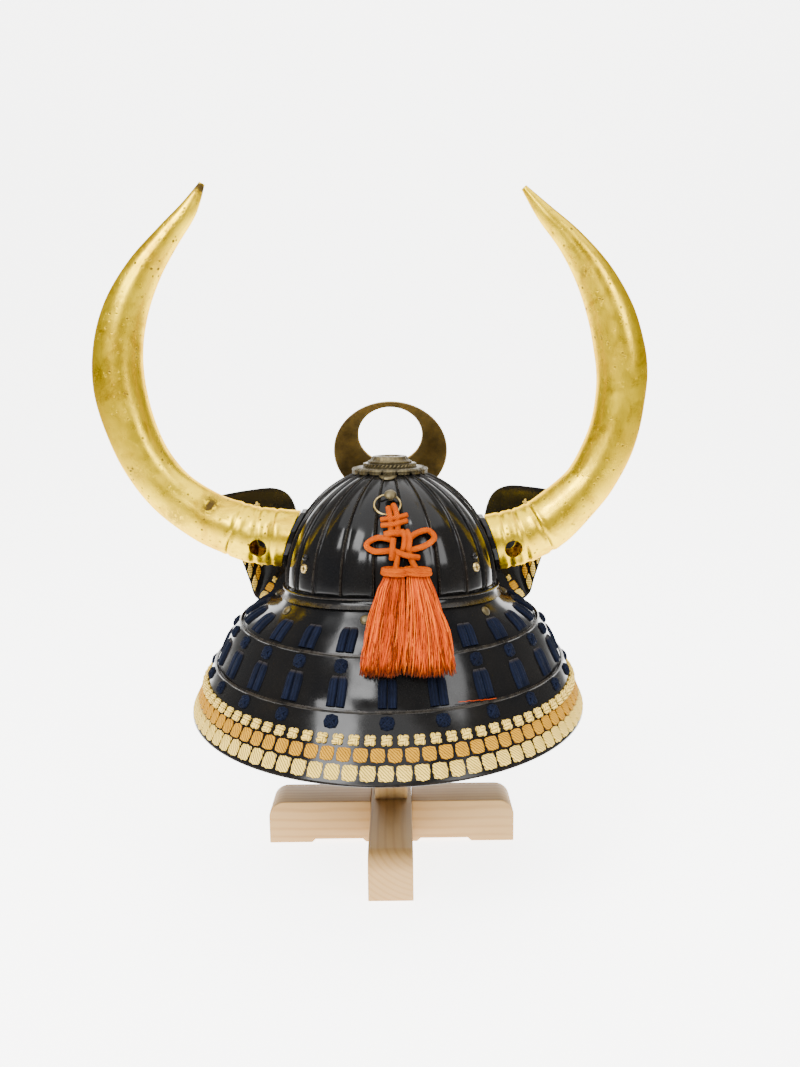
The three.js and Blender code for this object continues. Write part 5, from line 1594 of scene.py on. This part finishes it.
def bar_outline(notch_from_top):
    """Side view of a base bar as points: feet, a notch for the other bar and rounded upper ends."""
    half = BAR_LONG / 2
    foot = half - BAR_FOOT
    land = BAR_LAND / 2
    notch = BAR_WIDE / 2 + GAP
    middle = BAR_HIGH / 2
    points = [(-half, 0), (-foot, 0), (-foot + BAR_UNDERCUT, BAR_UNDERCUT),
              (-land - BAR_UNDERCUT, BAR_UNDERCUT), (-land, 0)]
    if not notch_from_top:
        points += [(-notch, 0), (-notch, middle + GAP / 2), (notch, middle + GAP / 2), (notch, 0)]
    points += [(land, 0), (land + BAR_UNDERCUT, BAR_UNDERCUT), (foot - BAR_UNDERCUT, BAR_UNDERCUT),
               (foot, 0), (half, 0)]
    arc = [(half - BAR_CORNER + BAR_CORNER * math.cos(a), BAR_HIGH - BAR_CORNER + BAR_CORNER * math.sin(a))
           for a in (math.pi / 2 * k / 14 for k in range(15))]
    points += arc
    if notch_from_top:
        points += [(notch, BAR_HIGH), (notch, middle - GAP / 2), (-notch, middle - GAP / 2),
                   (-notch, BAR_HIGH)]
    points += [(-x, z) for x, z in reversed(arc)]
    return points


def make_bar(node, notch_from_top, material, turned):
    outline = bar_outline(notch_from_top)
    shape = Shape()
    for side in (-1, 1):
        first = len(shape.points)
        for x, z in outline:
            y = side * BAR_WIDE / 2
            shape.points.append(Vector((-y, x, z)) if turned else Vector((x, y, z)))
        face = tuple(range(first, first + len(outline)))
        shape.faces.append(face if side < 0 else tuple(reversed(face)))
        shape.uvs.extend([(x / 10, z / 10) for x, z in outline])
    count = len(outline)
    for i in range(count):
        n = (i + 1) % count
        shape.faces.append((i, i + count, n + count, n))
        shape.uvs.extend([(0, 0), (1, 0), (1, 1), (0, 1)])
    shape.wear_and_painted_light = [0.0] * len(shape.points)
    shape.tone = [0.5] * len(shape.points)
    obj = make(node + "_planed", shape, material, [node], shift=0)
    soften(obj, 0.9)


def soften(obj, width):
    bevel = obj.modifiers.new("soften", "BEVEL")
    bevel.width = width * MM
    bevel.segments = 3
    bevel.limit_method = "ANGLE"
    bevel.angle_limit = 30 * DEG
    settle(obj)
    sharpen(obj, 35)


def make_block(name, low, high, material, nodes):
    shape = Shape()
    corners = [Vector((low[0], low[1], 0)), Vector((high[0], low[1], 0)), Vector((high[0], high[1], 0)),
               Vector((low[0], high[1], 0))]
    rows = [[corner + Vector((0, 0, low[2] + (high[2] - low[2]) * k / 12)) for corner in corners]
            for k in range(13)]
    shape.solid(rows)
    obj = make(name, shape, material, nodes, shift=0)
    soften(obj, 0.8)


def make_stand():
    pine_x = pine_material("pine_x", "X", (0, 0.06, 0.075))
    pine_y = pine_material("pine_y", "Y", (0.045, 0, 0.09), 0.98)
    pine_z = pine_material("pine_z", "Z", (0.05, 0.04, 0), 0.97)
    make_bar("stand_bar_x", True, pine_x, False)
    make_bar("stand_bar_y", False, pine_y, True)
    low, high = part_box("stand_post")
    make_block("stand_post_planed", [value / MM for value in low], [value / MM for value in high], pine_z,
               ["stand_post"])
    low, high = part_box("stand_head")
    head = Shape()
    base = Vector((HELMET_SHIFT, 0, low[2] / MM))
    thick = (high[2] - low[2]) / MM
    lathe(head, [(0.05, 0), (HEAD_RADIUS - 1, 0), (HEAD_RADIUS, 1), (HEAD_RADIUS, thick - 1),
                 (HEAD_RADIUS - 1, thick), (0.05, thick)], base, UPRIGHT, 96)
    sharpen(make("stand_head_turned", head, pine_z, ["stand_head"], shift=0), 30)


# Floor, light and camera

def make_floor():
    """A plain pale floor that turns up into the backdrop."""
    turn = [(PAPER_TURN_AT + PAPER_TURN_RADIUS * math.sin(a), PAPER_TURN_RADIUS * (1 - math.cos(a)))
            for a in (math.pi / 2 * k / 24 for k in range(25))]
    profile = [(PAPER_FRONT, 0)] + turn + [(turn[-1][0], PAPER_HIGH)]
    points = [(x, y, z - FLOOR_BELOW) for y, z in profile for x in (-PAPER_WIDE / 2, PAPER_WIDE / 2)]
    faces = [(2 * k, 2 * k + 1, 2 * k + 3, 2 * k + 2) for k in range(len(profile) - 1)]
    mesh = bpy.data.meshes.new("floor")
    mesh.from_pydata(points, [], faces)
    shade_smooth(mesh)
    mesh.materials.append(floor_material())
    floor = add_object("floor", mesh)


def area_light(name, at, toward, size, power):
    data = bpy.data.lights.new(name, "AREA")
    data.shape = "RECTANGLE"
    data.size, data.size_y = size
    data.energy = power
    light = add_object(name, data)
    light.location = at
    light.rotation_euler = (Vector(toward) - Vector(at)).to_track_quat("-Z", "Y").to_euler()


def make_light():
    world = bpy.data.worlds.new("studio")
    bpy.context.scene.world = world
    world.use_nodes = True
    background = world.node_tree.nodes["Background"]
    background.inputs["Color"].default_value = AMBIENT_COLOUR
    background.inputs["Strength"].default_value = AMBIENT
    for lamp in LAMPS:
        area_light(*lamp)


def make_camera():
    data = bpy.data.cameras.new("camera")
    data.sensor_fit = "VERTICAL"
    data.sensor_height = SENSOR_HEIGHT
    data.lens = FOCAL_PIXELS / IMAGE_HEIGHT * SENSOR_HEIGHT
    data.clip_start = 0.01
    camera = bpy.data.objects.new("camera", data)
    forward = Vector((0, math.cos(CAMERA_DOWN), -math.sin(CAMERA_DOWN)))
    right = Vector((1, 0, 0))
    up = right.cross(forward)
    across = right * math.cos(CAMERA_ROLL) + up * math.sin(CAMERA_ROLL)
    upward = up * math.cos(CAMERA_ROLL) - right * math.sin(CAMERA_ROLL)
    turn = Matrix((across, upward, -forward)).transposed()
    camera.matrix_world = Matrix.Translation(Vector(CAMERA_AT) * MM) @ turn.to_4x4()
    bpy.context.collection.objects.link(camera)
    bpy.context.scene.camera = camera


def dress_kept_nodes():
    """The solids that stay as they are take their finish here."""
    kept = (("horn_washer_left", LACQUER), ("horn_washer_right", LACQUER), ("crest_holder", BRASS))
    for node, material in kept:
        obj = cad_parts[node]
        obj.data.materials.clear()
        obj.data.materials.append(material)


make_camera()
make_floor()
make_light()
make_bowl()
make_band()
make_visor()
flaps = make_lames()
make_lacing()
make_patches(flaps)
make_crown()
make_horns()
make_crest()
make_studs()
make_ring()
make_knot()
make_tassels()
make_stand()
dress_kept_nodes()
